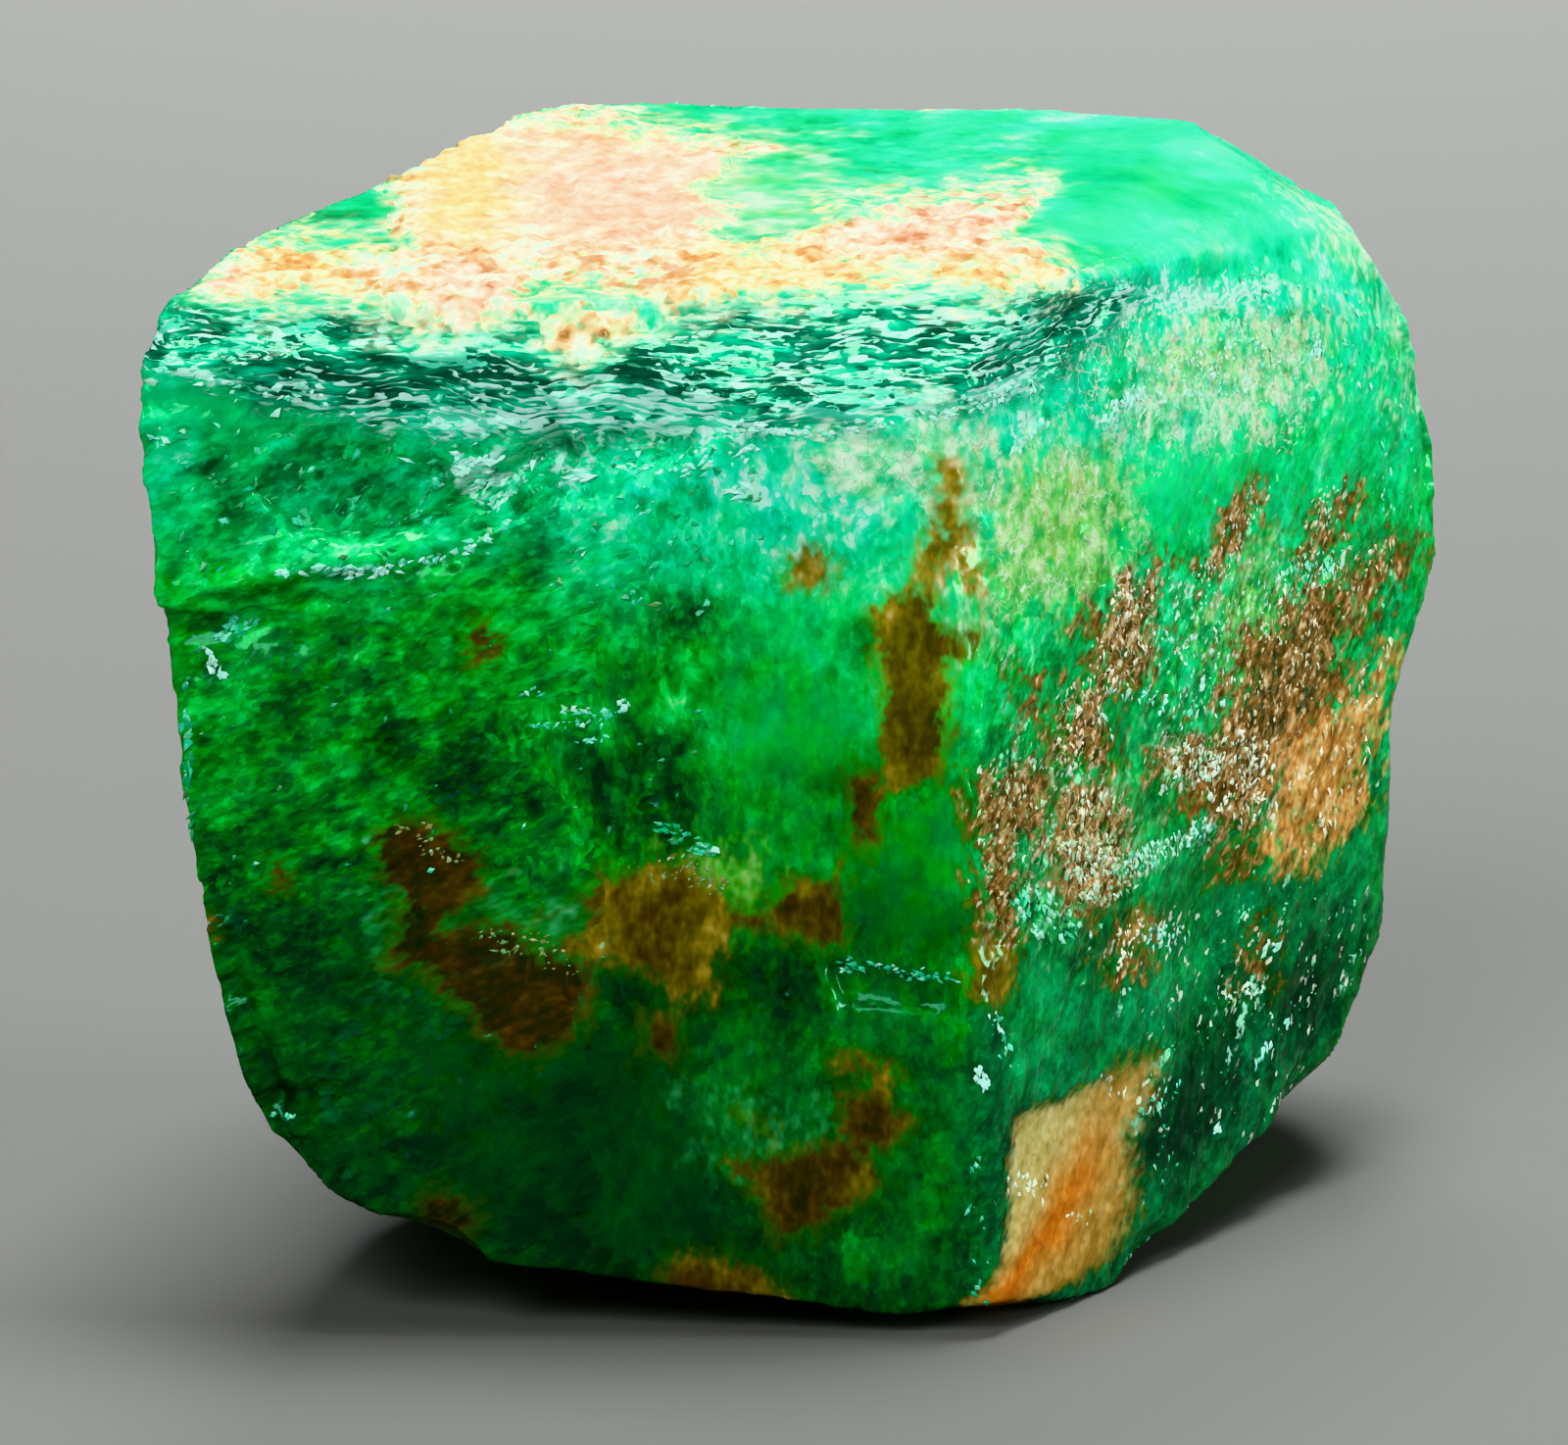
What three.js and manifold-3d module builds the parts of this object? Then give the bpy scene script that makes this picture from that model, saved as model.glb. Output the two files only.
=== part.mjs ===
// A rough emerald crystal, about 11.5 mm wide: one broken piece of a hexagonal beryl prism.
// Millimetres, +Z up, X to the right along the broad prism face, Y away from it.
// The origin is at the middle of the footprint, on the surface that the crystal rests on.
import * as THREE from "three";
import { mergeVertices } from "three/addons/utils/BufferGeometryUtils.js";
import Module from "manifold-3d";

const wasm = await Module();
wasm.setup();

// Driving dimensions
const FRONT_Y = -4.34; // the broad prism face at its proudest, near its foot
const UPPER_STEP = 0.14; // how far the upper part of that face lies back
const MIDDLE_STEP = 0.3; // how far its left middle lies back
const BACK_Y = 4.5;
const LEFT_X = -5.45; // the left corner of the broad prism face, near the top
const RIGHT_X = 5.93; // the widest point on the right
const WAIST_X = 5.46; // the narrower part under it
const EDGE_X = 1.86; // the foot of the edge between the broad prism face and the next one
const TOP_Z = 8.68; // the front of the top face
const BASE_Z = -0.1;

// The middle of the finished crystal's box, and its foot, in the frame that the faces are given in.
const CENTRE = [0.27, 0.01, BASE_Z];

const BLOCK = 14; // the uncut block, larger than the crystal every way
const BLOCK_FOOT = -1; // its underside
const CUTTER = 3 * BLOCK; // a block that reaches past the uncut one from any face of it
const SKIN_Y = -1.75; // a terrace's outline runs forward from here
const SKIN_DEPTH = 3.5;
const BALL_ROUND = 60; // the flats round a fracture's ball, and up it
const BALL_UP = 40;
const SAME_POINT = 1e-4; // corners closer than this are one

// Each flat face is a point on it and the way it looks. All that lies beyond it is cut away.
const FACES = {
  base: [[0, 0, BASE_Z], [0, 0, -1]],
  front: [[0, FRONT_Y, 0.5], [-0.02, -1, 0]],
  front_right: [[EDGE_X, FRONT_Y, 0], [0.825, -0.56, 0.075]],
  front_edge: [[1.62, -4.1, 4.5], [0.42, -0.89, 0.07]],
  right: [[RIGHT_X, 2.6, 5.6], [1, 0.12, 0.01]],
  back_right: [[5.1, 3.9, 5], [0.72, 0.7, -0.03]],
  back: [[0, BACK_Y, 6], [0.05, 1, -0.06]],
  back_left: [[-3.1, 3.2, 6], [-0.46, 0.88, -0.08]],
  left: [[LEFT_X, -3.9, 8], [-0.952, 0.3, -0.1]],
  left_facet: [[-5.2, -4.1, 7.1], [-0.18, -0.94, 0.28]],
  top: [[0, -3.2, TOP_Z], [-0.015, -0.065, 1]],
  top_right: [[1.7, -3.2, TOP_Z], [0.23, -0.15, 0.96]],
  bevel: [[0, -4.1, 7.9], [0.03, -0.66, 0.75]],
  bevel_right: [[4.2, -1.2, 8.36], [0.53, -0.585, 0.61]],
  shoulder_high: [[5.0, 1.5, 8.5], [0.5, 0.05, 0.87]],
  shoulder_middle: [[5.6, 1.5, 7.65], [0.86, 0.05, 0.5]],
  shoulder_low: [[5.82, 1.5, 6.85], [0.97, 0.04, 0.22]],
  shoulder_front: [[4.75, -0.6, 7.5], [0.76, -0.5, 0.4]],
  shoulder_back: [[2.5, 4.2, 8.75], [0.25, 0.6, 0.76]],
  top_left_corner: [[-5.3, -3.6, 8.26], [-0.62, -0.25, 0.75]],
  top_left_edge: [[-4.25, 0.1, 8.76], [-0.5, 0.2, 0.84]],
  left_low: [[-4.95, -3.9, 3.6], [-0.975, 0.1, -0.23]],
  left_foot: [[-4.66, -3.9, 2.0], [-0.76, -0.12, -0.64]],
  heel: [[-3.3, -3.9, 0.84], [-0.42, -0.12, -0.9]],
  sole: [[-1.6, -3.9, 0.36], [-0.13, -0.12, -0.98]],
  front_foot: [[1.4, -4.3, 0.14], [0.1, -0.3, -0.95]],
  right_foot: [[5.02, 0.3, 1.16], [0.85, 0.1, -0.48]],
  right_sole: [[4.0, -1.2, 0.52], [0.42, 0.06, -0.905]],
  back_foot: [[1, 3.9, 1.1], [0.1, 0.7, -0.7]],
  back_left_foot: [[-3.2, 2.6, 1.3], [-0.55, 0.5, -0.67]],
};

// Each ledge is two faces that meet in a hollow corner. What lies beyond both is cut away.
const LEDGES = {
  right_waist: [[[WAIST_X, 2.2, 3.9], [1, 0.1, -0.07]], [[WAIST_X, 2.2, 3.9], [0.94, 0.05, -0.34]]],
  bevel_low: [[[0, -4.02, 7.94], [0.02, -0.82, 0.57]], [[0, -4.02, 7.94], [-0.06, 0.1, 0.99]]],
  bevel_middle: [[[0, -3.76, 8.14], [0.02, -0.8, 0.6]], [[0, -3.76, 8.14], [0.05, 0.1, 0.99]]],
  bevel_high: [[[0, -3.46, 8.38], [0.02, -0.82, 0.57]], [[0, -3.46, 8.38], [-0.04, 0.12, 0.99]]],
  back_step: [[[1, 4.1, 5], [0.12, 1, 0.05]], [[1, 4.1, 5.6], [-0.3, 0.3, 0.9]]],
};

// Terraces on the broad face: inside an outline (x, z) the skin is cut back to a floor, which
// leaves a ledge where the outline ends. The floor is a flat face again.
const TERRACES = {
  upper_front: {
    outline: [[-6, 2.1], [-4.7, 1.95], [-3.85, 2.15], [-2.7, 2.9], [-2.2, 3.5], [-1.2, 3.93],
      [-0.45, 3.7], [0.0, 3.35], [0.4, 3.0], [0.45, 2.85], [1.5, 2.72], [6, 2.6], [6, 9.6], [-6, 9.6]],
    floor: [[0, FRONT_Y + UPPER_STEP, 4], [-0.04, -1, 0.02]],
  },
  middle_front: {
    outline: [[-6, 3.6], [-4.2, 3.3], [-3.2, 3.9], [-2.6, 3.8], [-1.9, 4.6], [-1.3, 4.75],
      [-0.6, 4.55], [-0.2, 5.0], [-0.6, 5.4], [-1.5, 5.5], [-2.3, 5.9], [-6, 6.2]],
    floor: [[-2.5, FRONT_Y + MIDDLE_STEP, 5], [-0.075, -1, 0.03]],
  },
};

// Shell-like fractures: a ball of this radius bites this deep into the surface at a point that
// looks this way.
const FRACTURES = {
  upper_left: { at: [-3.35, -4.0, 7.7], facing: [0.02, -1, 0.1], radius: 3.2, bite: 0.36 },
  upper_left_step: { at: [-1.45, -4.0, 7.9], facing: [0.12, -1, 0.3], radius: 1.9, bite: 0.16 },
  left_nick: { at: [-4.9, -3.9, 2.72], facing: [-1, -0.6, 0], radius: 0.5, bite: 0.13 },
  heel_nick: { at: [-3.1, -4.0, 0.72], facing: [-0.2, -0.5, -0.85], radius: 0.9, bite: 0.12 },
  lower_left: { at: [-4.3, -4.2, 1.6], facing: [-0.35, -1, -0.25], radius: 1.8, bite: 0.18 },
  toe_step: { at: [3.3, -2.2, 0.1], facing: [0.7, -0.55, -0.45], radius: 1.1, bite: 0.14 },
  toe_edge: { at: [4.6, -0.3, 0.95], facing: [0.9, -0.3, -0.3], radius: 1.2, bite: 0.14 },
  right_hollow: { at: [3.8, -1.16, 2.5], facing: [0.83, -0.56, 0.07], radius: 5.2, bite: 0.13 },
  back_large: { at: [0.2, 4.5, 3.6], facing: [0.05, 1, 0.05], radius: 6.5, bite: 0.45 },
  back_corner: { at: [4.3, 4.2, 7.4], facing: [0.5, 0.8, 0.4], radius: 2.8, bite: 0.3 },
  back_edge: { at: [4.6, 3.9, 2.6], facing: [0.75, 0.6, -0.2], radius: 3.2, bite: 0.32 },
  left_large: { at: [-3.86, 0.2, 5.2], facing: [-0.95, 0.3, 0], radius: 5.4, bite: 0.34 },
  left_low: { at: [-3.4, 0.8, 2.2], facing: [-0.85, 0.2, -0.5], radius: 2.6, bite: 0.3 },
};

// A closed mesh as a solid for joining and cutting.
function solidOf(geometry) {
  const bare = geometry.clone();
  bare.deleteAttribute("normal");
  bare.deleteAttribute("uv");
  const merged = mergeVertices(bare, SAME_POINT);
  const mesh = new wasm.Mesh({
    numProp: 3,
    vertProperties: merged.attributes.position.array,
    triVerts: new Uint32Array(merged.index.array),
  });
  return new wasm.Manifold(mesh);
}

// A finished solid as geometry in the part's own frame.
function geometryOf(solid) {
  const mesh = solid.getMesh();
  const geometry = new THREE.BufferGeometry();
  geometry.setAttribute("position", new THREE.BufferAttribute(mesh.vertProperties, 3));
  geometry.setIndex(new THREE.BufferAttribute(mesh.triVerts, 1));
  geometry.translate(-CENTRE[0], -CENTRE[1], -CENTRE[2]);
  geometry.computeVertexNormals();
  return geometry;
}

// What lies beyond a flat face: a block with one side on the face.
function beyond([point, facing]) {
  const block = new THREE.BoxGeometry(CUTTER, CUTTER, CUTTER);
  block.translate(0, 0, CUTTER / 2);
  const turn = new THREE.Quaternion().setFromUnitVectors(
    new THREE.Vector3(0, 0, 1),
    new THREE.Vector3(...facing).normalize(),
  );
  block.applyQuaternion(turn);
  block.translate(...point);
  return solidOf(block);
}

function beyondBoth([oneFace, otherFace]) {
  return beyond(oneFace).intersect(beyond(otherFace));
}

// What a terrace takes away: its outline, run through the front skin, beyond its floor.
function aboveTerrace({ outline, floor }) {
  const shape = new THREE.Shape(outline.map(([x, z]) => new THREE.Vector2(x, z)));
  const prism = new THREE.ExtrudeGeometry(shape, { depth: SKIN_DEPTH, bevelEnabled: false });
  prism.rotateX(Math.PI / 2);
  prism.translate(0, SKIN_Y, 0);
  return solidOf(prism).intersect(beyond(floor));
}

// What a fracture takes away: a ball whose middle stands off the surface.
function fracture({ at, facing, radius, bite }) {
  const ball = new THREE.SphereGeometry(radius, BALL_ROUND, BALL_UP);
  const standOff = new THREE.Vector3(...facing).setLength(radius - bite);
  ball.translate(...new THREE.Vector3(...at).add(standOff));
  return solidOf(ball);
}

function crystal() {
  const block = new THREE.BoxGeometry(BLOCK, BLOCK, BLOCK);
  block.translate(0, 0, BLOCK_FOOT + BLOCK / 2);
  const cuts = [
    ...Object.values(FACES).map(beyond),
    ...Object.values(LEDGES).map(beyondBoth),
    ...Object.values(TERRACES).map(aboveTerrace),
    ...Object.values(FRACTURES).map(fracture),
  ];
  return cuts.reduce((solid, cut) => solid.subtract(cut), solidOf(block));
}

const emerald = new THREE.MeshStandardMaterial({ color: 0x0a8f4e, roughness: 0.35, metalness: 0 });
const mesh = new THREE.Mesh(geometryOf(crystal()), emerald);
mesh.name = "emerald_crystal";

const part = new THREE.Group();
part.add(mesh);

export default part;
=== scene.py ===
# A rough emerald crystal, 11.4 mm wide, on a pale floor.
# Lengths are millimetres while the surface is shaped, and metres in the finished pieces.
import math
from functools import reduce
from itertools import product

import bpy
import numpy as np
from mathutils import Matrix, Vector
from mathutils.bvhtree import BVHTree


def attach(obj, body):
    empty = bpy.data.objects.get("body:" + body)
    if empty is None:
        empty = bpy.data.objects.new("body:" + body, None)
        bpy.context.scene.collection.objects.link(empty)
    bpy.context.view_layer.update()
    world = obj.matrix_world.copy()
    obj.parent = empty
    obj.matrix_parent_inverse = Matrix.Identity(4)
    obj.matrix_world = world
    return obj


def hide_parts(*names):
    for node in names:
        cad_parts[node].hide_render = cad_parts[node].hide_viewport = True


MM = 0.001  # one millimetre in metres

# The picture and the camera
PHOTO_WIDTH = 1600
PHOTO_HEIGHT = 1474
SENSOR_WIDTH = 36.0
FOCAL_PIXELS = 8625.0
ELEVATION = math.radians(13)
DISTANCE = 75.0
AIM = np.array([-0.27, -0.01, 4.35])
PIXELS_PER_MM = 118.0

# The surface mesh
VOXEL = 0.042
MOST_TRIANGLES = 198000
WEAR_ROUNDS = 3
RUB_ROUNDS = 900

# The grain of the stone runs along three directions: those of the right face's ribs, the level and
# upright ones, and those of the grain that leans on the left
STREAK_AXES = ((0.382, 0.563, 0.73), (0.409, 0.602, -0.683), (0.825, -0.56, 0.075))
LEVEL_AXES = ((1, 0, 0), (0, 1, 0), (0, 0, 1))
LEANING_AXES = ((0.91, 0, 0.41), (-0.41, 0, 0.91), (0, 1, 0))

# The growth layers that end on the bevel
LAYER_STEP = 0.11  # from one ledge to the next, in mm
LEDGE_RISE = 0.8  # the part of a step in which the ledge rises
LEDGE_FALL = 0.2  # the rest of the step
LAYERS_PER_MM = 13.5  # of height, in their colour
BEND = 0.02  # how they bend up to both sides, for each mm squared
BEND_MIDDLE = 1.0  # how far left of the middle they are lowest, in mm

# How many times a point's normal is averaged with its neighbours' before it is used
RELIEF_NORMAL_ROUNDS = 6
PAINT_NORMAL_ROUNDS = 4
HIGHEST_RIDGE = 0.012  # how far a sharp ridge stands over the mean of the surface round it, in mm

# Painted light and shade on the green: how bright it is at the foot, for each mm up, for each mm up
# to a power, for each mm to the right, and how much darker the top is painted
LIGHT_AT_FOOT = 0.12
LIGHT_UP = 0.030
LIGHT_HIGH = 0.0055
LIGHT_POWER = 1.9
LIGHT_RIGHT = 0.018
TOP_SHADE = 0.06

# Outlines on the crystal, as pixels of the photograph
REGIONS = {
    "bevel": [
        [(130, 350), (165, 318), (215, 305), (330, 318), (440, 336), (520, 325), (600, 345), (690, 328),
         (760, 305), (900, 300), (1000, 295), (1100, 288), (1165, 286), (1170, 306), (1130, 335),
         (1085, 375), (1010, 420), (900, 430), (760, 437), (560, 446),
         (470, 442), (380, 432), (300, 415), (230, 392), (150, 385)],
    ],
    "fresh": [
        [(135, 385), (300, 412), (470, 440), (640, 436), (720, 440), (650, 500), (600, 540), (540, 565),
         (460, 580), (330, 596), (260, 650), (190, 710), (150, 560)],
    ],
    "streaks": [
        [(1010, 640), (1060, 520), (1180, 440), (1330, 400), (1480, 300), (1480, 640), (1430, 900),
         (1390, 1000), (1150, 1100), (1020, 1040), (990, 820)],
    ],
    "rough": [
        [(990, 1020), (1150, 1080), (1400, 960), (1350, 1130), (1200, 1260), (1120, 1370), (990, 1350)],
    ],
}

# How gradually each kind of surface begins, in mm
REGION_EDGES = {"bevel": 0.16, "fresh": 0.14, "streaks": 0.45, "rough": 0.30}

# Where the edges are rubbed round, and an old step is worn down
RUBBED = [
    [(880, 440), (1040, 380), (1150, 310), (1340, 180), (1460, 330), (1460, 520), (1220, 620), (1140, 900),
     (1080, 980), (940, 980), (880, 700)],
    [(200, 860), (560, 820), (680, 880), (800, 930), (830, 1010), (640, 1060), (200, 1200)],
]

# Where the grain of the stone runs every way
CRACKLED = [
    [(800, 446), (920, 434), (1040, 400), (1090, 350), (1160, 318), (1300, 310), (1345, 330), (1360, 400),
     (1330, 450), (1240, 470), (1190, 470), (1150, 620), (1010, 632), (930, 500), (840, 520)],
]

MARKS = {
    # Painted glare and glints
    "painted_glare": [
        [(163, 376), (240, 380), (300, 398), (380, 416), (450, 420), (520, 392), (580, 380), (640, 395),
         (740, 398), (735, 434), (640, 439), (560, 447), (470, 443), (380, 433), (300, 416), (220, 393)],
        [(1130, 296), (1180, 284), (1300, 282), (1320, 302), (1250, 322), (1150, 320)],
        [(720, 432), (800, 433), (908, 440), (908, 453), (800, 449), (720, 447)],
        [(903, 417), (975, 419), (977, 431), (912, 429)],
        [(1003, 388), (1045, 384), (1052, 400), (1020, 410), (1003, 402)],
        [(1040, 420), (1056, 424), (1042, 454), (1016, 472), (1010, 462), (1030, 448)],
        [(895, 300), (955, 282), (1000, 290), (950, 325), (905, 340)],
        [(570, 470), (590, 470), (590, 492), (572, 492)],
        [(468, 470), (510, 462), (518, 480), (480, 505)],
        [(1118, 436), (1160, 396), (1172, 394), (1140, 436)],
    ],
    "crust": [
        [(205, 286), (229, 298), (277, 300), (316, 298), (339, 299), (367, 306), (401, 323), (429, 331),
         (471, 337), (513, 329), (520, 306), (540, 292), (581, 289), (627, 292), (667, 304), (679, 325),
         (719, 316), (740, 301), (783, 298), (826, 301), (857, 292), (887, 284), (960, 289), (1026, 292),
         (1073, 293), (1088, 279), (1069, 259), (1036, 246), (1048, 223), (1050, 186), (1036, 180),
         (1000, 192), (960, 208), (900, 206), (845, 208), (800, 242), (765, 255), (735, 235), (728, 200),
         (735, 165), (750, 149), (691, 134), (642, 124), (581, 112), (500, 110), (430, 140), (395, 180),
         (400, 250), (330, 256), (300, 240), (230, 250)],
        [(560, 330), (600, 316), (640, 322), (625, 345), (585, 366), (560, 352)],
    ],
    "yellow": [
        [(262, 255), (353, 255), (353, 288), (300, 291), (250, 282)],
        [(430, 150), (515, 125), (525, 200), (505, 245), (440, 245)],
        [(700, 262), (830, 258), (1000, 262), (1060, 285), (840, 298), (700, 297)],
        [(750, 200), (800, 190), (840, 210), (790, 240), (750, 235)],
    ],
    "pink": [
        [(429, 268), (513, 278), (515, 325), (440, 322)],
        [(530, 160), (600, 140), (740, 158), (728, 225), (660, 262), (600, 255), (545, 235)],
        [(845, 206), (900, 204), (1000, 192), (1045, 186), (1040, 235), (1000, 252), (850, 255)],
        [(213, 284), (240, 275), (240, 296)],
    ],
    "rust": [
        [(390, 288), (413, 298), (408, 306), (392, 298)],
        [(642, 272), (704, 262), (704, 276), (650, 288)],
        [(585, 262), (612, 258), (618, 280), (590, 284)],
        [(355, 276), (372, 276), (370, 292), (357, 292)],
        [(294, 278), (308, 278), (308, 288), (295, 288)],
        [(1056, 408), (1075, 402), (1090, 416), (1075, 428), (1058, 424)],
    ],
    "brown": [
        [(955, 470), (984, 468), (984, 530), (990, 552), (1010, 585), (1004, 612), (985, 600), (972, 575),
         (950, 608), (935, 590), (935, 562), (958, 550)],
        [(892, 632), (912, 612), (930, 606), (955, 616), (948, 634), (996, 650), (998, 664), (968, 672),
         (961, 700), (966, 745), (955, 790), (901, 805), (903, 700), (895, 660)],
        [(806, 575), (816, 556), (832, 560), (846, 580), (838, 600), (812, 596)],
        [(480, 655), (494, 638), (507, 648), (500, 672), (484, 680)],
        [(868, 792), (892, 790), (893, 858), (874, 862)],
        [(385, 850), (405, 834), (430, 840), (485, 870), (488, 905), (462, 928), (440, 955), (470, 950),
         (520, 948), (560, 978), (596, 986), (600, 1024), (585, 1050), (560, 1068), (530, 1078),
         (508, 1062), (480, 1036), (455, 1006), (425, 985), (398, 980), (410, 940), (418, 915), (388, 885)],
        [(603, 905), (643, 893), (693, 885), (732, 908), (750, 935), (740, 955), (729, 973), (723, 1016),
         (689, 1015), (669, 999), (643, 989), (593, 976), (565, 968), (600, 950)],
        [(780, 930), (812, 900), (855, 896), (862, 956), (835, 960), (790, 948), (742, 948), (742, 930)],
        [(660, 1040), (688, 1040), (690, 1072), (664, 1070)],
        [(849, 1080), (880, 1080), (912, 1098), (905, 1108), (872, 1094)],
        [(745, 1190), (792, 1186), (842, 1166), (880, 1166), (897, 1205), (859, 1231), (825, 1251),
         (799, 1265), (780, 1218)],
        [(860, 1122), (900, 1118), (930, 1150), (890, 1172), (862, 1160)],
        [(432, 1226), (470, 1228), (485, 1240), (480, 1254), (436, 1250)],
        [(676, 1300), (700, 1284), (770, 1290), (800, 1326), (740, 1332), (690, 1322)],
        [(990, 990), (1000, 955), (1020, 948), (1038, 962), (1034, 1000), (1018, 1026), (994, 1015)],
        [(276, 888), (290, 886), (292, 904), (280, 906)],
        [(204, 935), (214, 935), (214, 952), (205, 952)],
    ],
    "streak_brown": [
        [(1186, 578), (1180, 640), (1176, 690), (1160, 700), (1132, 706), (1124, 740), (1130, 782),
         (1078, 782), (1082, 735), (1112, 690), (1120, 640), (1136, 600)],
        [(1280, 494), (1286, 510), (1270, 545), (1236, 590), (1228, 580), (1250, 530)],
        [(1372, 490), (1376, 510), (1330, 572), (1316, 570), (1345, 520)],
        [(1438, 543), (1418, 556), (1375, 590), (1312, 606), (1303, 646), (1262, 640), (1262, 690),
         (1240, 740), (1180, 770), (1176, 790), (1216, 800), (1212, 828), (1250, 826), (1272, 855),
         (1292, 822), (1312, 788), (1330, 759), (1358, 735), (1372, 700), (1366, 665), (1401, 616),
         (1424, 593), (1448, 560)],
        [(1073, 812), (1100, 800), (1146, 812), (1146, 880), (1130, 925), (1100, 940), (1084, 900)],
        [(1000, 800), (1040, 786), (1076, 792), (1070, 850), (1034, 862), (1033, 957), (1004, 957),
         (1003, 858)],
        [(1040, 735), (1048, 694), (1062, 692), (1056, 736)],
        [(1134, 1001), (1150, 950), (1160, 931), (1171, 938), (1160, 975), (1142, 1001)],
        [(1242, 871), (1272, 871), (1270, 892), (1244, 894)],
        [(1278, 992), (1280, 943), (1288, 944), (1287, 992)],
    ],
    "orange": [
        [(1177, 1078), (1144, 1090), (1113, 1108), (1073, 1126), (1038, 1142), (1034, 1163), (1031, 1194),
         (1029, 1255), (1023, 1292), (1006, 1316), (984, 1330), (1021, 1336), (1061, 1319), (1098, 1307),
         (1125, 1286), (1144, 1255), (1156, 1224), (1153, 1185), (1150, 1154), (1171, 1120)],
        [(1152, 957), (1160, 936), (1170, 938), (1164, 957)],
    ],
    "ochre": [
        [(1420, 660), (1391, 700), (1360, 722), (1318, 745), (1298, 800), (1292, 850), (1302, 882),
         (1332, 884),
         (1360, 854), (1386, 826), (1393, 790), (1406, 742), (1420, 700)],
    ],
    "haze": [
        [(820, 452), (960, 425), (1010, 440), (1000, 480), (985, 560), (1000, 600), (960, 540),
         (950, 490), (900, 505), (850, 515), (825, 490)],
        [(965, 612), (1004, 605), (1006, 650), (975, 645)],
        [(500, 940), (560, 925), (600, 950), (560, 975), (520, 965)],
        [(391, 933), (415, 910), (444, 912), (473, 933), (460, 983), (400, 980)],
        [(709, 1119), (742, 1120), (789, 1150), (842, 1152), (830, 1178), (760, 1192), (742, 1160)],
        [(731, 165), (760, 152), (841, 160), (845, 205), (795, 240), (735, 235)],
        [(1330, 183), (1400, 200), (1440, 276), (1424, 290), (1360, 262)],
        [(1425, 335), (1455, 335), (1460, 400), (1440, 405)],
        [(1070, 800), (1160, 790), (1160, 880), (1120, 945), (1070, 940)],
        [(1180, 760), (1240, 755), (1262, 775), (1240, 795), (1185, 790)],
        [(1165, 345), (1240, 325), (1330, 328), (1345, 380), (1290, 425), (1200, 445), (1150, 420)],
    ],
    "olive": [
        [(1000, 500), (1035, 465), (1100, 462), (1139, 480), (1139, 605), (1060, 616), (1005, 600),
         (1010, 550)],
        [(1190, 360), (1235, 345), (1262, 352), (1262, 384), (1200, 392)],
        [(1285, 345), (1330, 332), (1350, 342), (1345, 366), (1290, 368)],
        [(1258, 573), (1290, 560), (1300, 650), (1262, 690), (1250, 640)],
        [(700, 870), (760, 880), (780, 925), (745, 935), (720, 900)],
    ],
    # Dark places: painted shade, where the stone lies in shadow
    "dark": [
        [(292, 465), (380, 455), (435, 480), (420, 525), (340, 545), (290, 520)],
        [(203, 500), (215, 468), (246, 505), (225, 515)],
        [(438, 720), (470, 712), (484, 740), (480, 811), (455, 815), (446, 770)],
        [(379, 745), (430, 735), (440, 790), (400, 800)],
        [(560, 752), (630, 745), (700, 752), (712, 800), (705, 864), (640, 850), (570, 820)],
        [(673, 600), (715, 600), (726, 640), (700, 655), (676, 640)],
        [(789, 785), (812, 782), (842, 792), (862, 782), (890, 790), (895, 816), (815, 812)],
        [(842, 838), (878, 836), (880, 854), (846, 855)],
        [(865, 648), (890, 642), (892, 665), (870, 672)],
        [(726, 960), (800, 955), (850, 975), (845, 1040), (780, 1050), (730, 1010)],
        [(1165, 266), (1290, 264), (1280, 288), (1170, 292)],
        [(930, 350), (960, 330), (1000, 345), (985, 362), (945, 362)],
        [(700, 372), (770, 368), (820, 380), (810, 398), (720, 392)],
        [(190, 368), (240, 362), (330, 358), (352, 392), (260, 392), (200, 380)],
        [(350, 392), (430, 396), (440, 408), (360, 402)],
    ],
}

# How golden each brown mark is, in the order of the brown outlines: 0 is nearly black, 1 is cream
BROWN_TONES = (
    0.76, 0.46, 0.58, 0.36, 0.22, 0.24, 0.56, 0.40, 0.22, 0.56, 0.34, 0.40, 0.12, 0.52, 0.52, 0.30, 0.60,
)

# The bright orange vein down the orange flap, how wide it is, and how gradually the flap turns pale
# across it, in pixels
FLAME = [(1136, 1112), (1100, 1200), (1067, 1267), (1018, 1326)]
FLAME_WIDTH = 24
FLAP_WIDTH = 60

# Columns and rows of the photograph between which something changes
FLAP_SOFTENS = (1090, 1150)  # the flap's outline is soft right of these columns
FLAME_SHOWS = (1130, 1220)  # the vein is faint above these rows
GRAIN_LEANS = (640, 500)  # the grain leans left of these columns

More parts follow.
